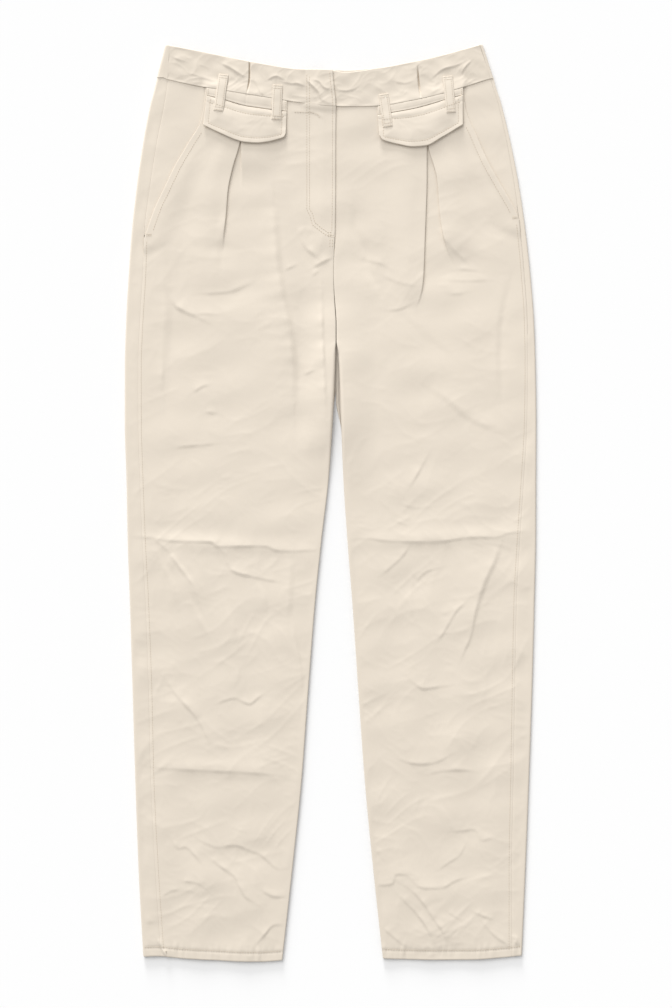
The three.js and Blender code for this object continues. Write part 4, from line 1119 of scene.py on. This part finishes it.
def makeStitching(name, chosen):
    tree = treeOf(list(made.values()))
    shares = np.array([0.0, 0.14, 0.5, 0.86, 1.0])
    fullness = np.array([0.5, 0.95, 1.0, 0.95, 0.5])
    height = np.array([-1.0, 0.1, 1.0, 0.1, -1.0])
    turns = np.arange(thread["sides"]) * 2 * np.pi / thread["sides"]
    points = []
    for line, pitch, length in chosen:
        spot, at = along(line, pitch)
        for s in at:
            rings = spot(s + (shares - 0.5) * length)
            tops = [topAt(tree, x, y) for x, y in (rings[0], rings[2], rings[4])]
            if None in tops or max(tops) - min(tops) > thread["steepest"]:
                continue
            z = np.interp(shares, [0, 0.5, 1], tops)
            z = z + thread["proud"] * height - np.where(height < 0, thread["sunk"], 0)
            ahead = (rings[-1] - rings[0]) / np.linalg.norm(rings[-1] - rings[0])
            aside = np.array([-ahead[1], ahead[0]])
            radius = thread["radius"] * fullness
            ringX = rings[:, :1] + radius[:, None] * np.cos(turns) * aside[0]
            ringY = rings[:, 1:] + radius[:, None] * np.cos(turns) * aside[1]
            ringZ = z[:, None] + radius[:, None] * np.sin(turns)
            points.append(np.stack([ringX, ringY, ringZ], axis=-1))
    points = np.array(points)
    count = len(points)
    index = np.arange(points[..., 0].size).reshape(points.shape[:3])
    after = np.roll(index, -1, axis=2)
    quads = np.stack([index[:, :-1], after[:, :-1], after[:, 1:], index[:, 1:]], axis=-1).reshape(-1, 4)
    print(name, count, "stitches")
    return addMesh(name, points.reshape(-1, 3), quads, None)


stitching = [
    makeStitching("stitching_right", [row for row in stitchRows if row[0][:, 0].mean() < 0]),
    makeStitching("stitching_left", [row for row in stitchRows if row[0][:, 0].mean() >= 0]),
]
print("stitching made")
class Wire:
    def __init__(self, tree, socket):
        self.tree = tree
        self.socket = socket

    def node(self, kind, inputs=None, output=0, **settings):
        node = self.tree.nodes.new(kind)
        for key, value in settings.items():
            setattr(node, key, value)
        for key, value in (inputs or {}).items():
            self.join(value, node.inputs[key])
        return Wire(self.tree, node.outputs[output])

    def join(self, value, socket):
        if isinstance(value, Wire):
            self.tree.links.new(value.socket, socket)
        else:
            socket.default_value = value

    def maths(self, operation, first, second=None):
        values = {0: first} if second is None else {0: first, 1: second}
        return self.node("ShaderNodeMath", values, operation=operation)

    def __add__(self, other):
        return self.maths("ADD", self, other)

    def __radd__(self, other):
        return self.maths("ADD", other, self)

    def __sub__(self, other):
        return self.maths("SUBTRACT", self, other)

    def __rsub__(self, other):
        return self.maths("SUBTRACT", other, self)

    def __mul__(self, other):
        return self.maths("MULTIPLY", self, other)

    def __rmul__(self, other):
        return self.maths("MULTIPLY", other, self)

    def within(self, low, high):
        raised = self.maths("MAXIMUM", self, low)
        return raised.maths("MINIMUM", raised, high)

    def sine(self):
        return self.maths("SINE", self)

    def part(self, axis):
        return self.node("ShaderNodeSeparateXYZ", {0: self}, output=axis)

    def scaled(self, factor):
        return self.node("ShaderNodeVectorMath", {0: self, 1: factor}, operation="MULTIPLY")

    def blend(self, low, high):
        return self.node("ShaderNodeMix", {"Factor": self, "A": low, "B": high}, output=2, data_type="RGBA")

    def noise(self, scale, detail=2.0, roughness=0.5):
        inputs = {"Vector": self, "Scale": scale, "Detail": detail, "Roughness": roughness}
        return self.node("ShaderNodeTexNoise", inputs)


look = {
    "light": (0.748, 0.669, 0.568, 1),
    "dark": (0.658, 0.588, 0.497, 1),
    "thread": (0.56, 0.48, 0.38, 1),
    "usual": 0.72,
    "bandShadeAndTone": 0.35,
    "hemShadeAndWear": 0.7,
    "rib": 0.00075,
    "bump": 0.12,
    "roughness": 0.88,
    "sheen": 0.12,
    "sheenRoughness": 0.6,
    "shine": 0.18,
}


def makeMaterial(name, light, dark, woven):
    material = bpy.data.materials.new(name)
    material.use_nodes = True
    tree = material.node_tree
    shader = tree.nodes["Principled BSDF"]
    shader.inputs["Roughness"].default_value = look["roughness"]
    shader.inputs["Sheen Weight"].default_value = look["sheen"]
    shader.inputs["Sheen Roughness"].default_value = look["sheenRoughness"]
    shader.inputs["Specular IOR Level"].default_value = look["shine"]
    where = Wire(tree, tree.nodes.new("ShaderNodeTexCoord").outputs["Object"])
    x, y = where.part(0), where.part(1)
    broad = where.noise(14.0, 3.0)
    slub = where.scaled((1.0, 0.12, 1.0)).noise(1700.0, 1.0)
    fibre = where.noise(2600.0, 2.0, 0.6)
    shade = look["usual"] + (broad - 0.5) * 0.24 + (slub - 0.5) * 0.17 + (fibre - 0.5) * 0.12
    # Partly painted shade: the cloth is made darker towards the hems and at the waistband. Part of this
    # stands in for light falling off there, and part is the cloth's own deeper tone and wear.
    shade = shade - (0.15 - y).within(0.0, 1.0) * look["hemShadeAndWear"]
    shade = shade - ((y - x * x * 0.88 - 0.4385) * 150.0).within(0.0, 1.0) * look["bandShadeAndTone"]
    Wire(tree, None).join(shade.blend(dark, light), shader.inputs["Base Color"])
    if woven:
        rib = ((x * 0.9 + y * 0.45) * (2 * math.pi / look["rib"])).sine()
        yarn = ((y - x * 0.2) * (2 * math.pi / (look["rib"] * 0.55))).sine()
        height = rib * 0.5 + yarn * 0.15 + fibre * 0.5
    else:
        height = fibre
    bump = height.node(
        "ShaderNodeBump", {"Strength": look["bump"], "Distance": 0.00012, "Height": height}, output="Normal"
    )
    bump.join(bump, shader.inputs["Normal"])
    return material


twill = makeMaterial("twill", look["light"], look["dark"], True)
threadFinish = makeMaterial("thread", look["thread"], look["thread"], False)
for obj in made.values():
    obj.data.materials.append(twill)
for obj in stitching:
    obj.data.materials.append(threadFinish)
print("materials made")

# Floor, light and camera
studio = {
    "floor": 0.873, "floorZ": -0.0004, "reach": 22.0, "world": 0.56,
    "sun": 1.8, "spread": 50.0, "lowSun": 3.0, "lowSpread": 15.0,
}
mesh = bpy.data.meshes.new("floor")
reach = studio["reach"]
edges = [(-reach, -reach), (reach, -reach), (reach, reach), (-reach, reach)]
mesh.from_pydata([(a, b, studio["floorZ"]) for a, b in edges], [], [(0, 1, 2, 3)])
floor = bpy.data.objects.new("floor", mesh)
scene.collection.objects.link(floor)
paper = bpy.data.materials.new("paper")
paper.use_nodes = True
surface = paper.node_tree.nodes["Principled BSDF"]
surface.inputs["Base Color"].default_value = (studio["floor"],) * 3 + (1,)
surface.inputs["Roughness"].default_value = 1.0
surface.inputs["Specular IOR Level"].default_value = 0.0
mesh.materials.append(paper)

world = bpy.data.worlds.new("studio")
world.use_nodes = True
sky = world.node_tree.nodes["Background"]
sky.inputs["Color"].default_value = (1, 1, 1, 1)
sky.inputs["Strength"].default_value = studio["world"]
scene.world = world


def addLamp(name, strength, spreadAngle, direction):
    lamp = bpy.data.lights.new(name, "SUN")
    lamp.energy = strength
    lamp.angle = math.radians(spreadAngle)
    obj = bpy.data.objects.new(name, lamp)
    obj.rotation_euler = Vector(direction).to_track_quat("-Z", "Y").to_euler()
    scene.collection.objects.link(obj)


addLamp("key", studio["sun"], studio["spread"], (0.48, -0.84, -0.9))
addLamp("low", studio["lowSun"], studio["lowSpread"], (0.14, -1.0, -0.2))

camera = {
    "lens": 85.0, "sensor": 36.0, "pixel": 1.1, "height": 1008,
    "centreX": 6.05, "centreY": -0.94, "level": 4.0,
}
view = bpy.data.cameras.new("camera")
view.lens = camera["lens"]
view.sensor_width = camera["sensor"]
away = camera["lens"] / camera["sensor"] * camera["height"] * camera["pixel"] + camera["level"]
eye = bpy.data.objects.new("camera", view)
eye.location = (camera["centreX"] / 1000, camera["centreY"] / 1000, away / 1000)
scene.collection.objects.link(eye)
scene.camera = eye
scene.view_settings.view_transform = "Standard"
scene.view_settings.look = "None"
print("studio made")

bpy.context.view_layer.update()
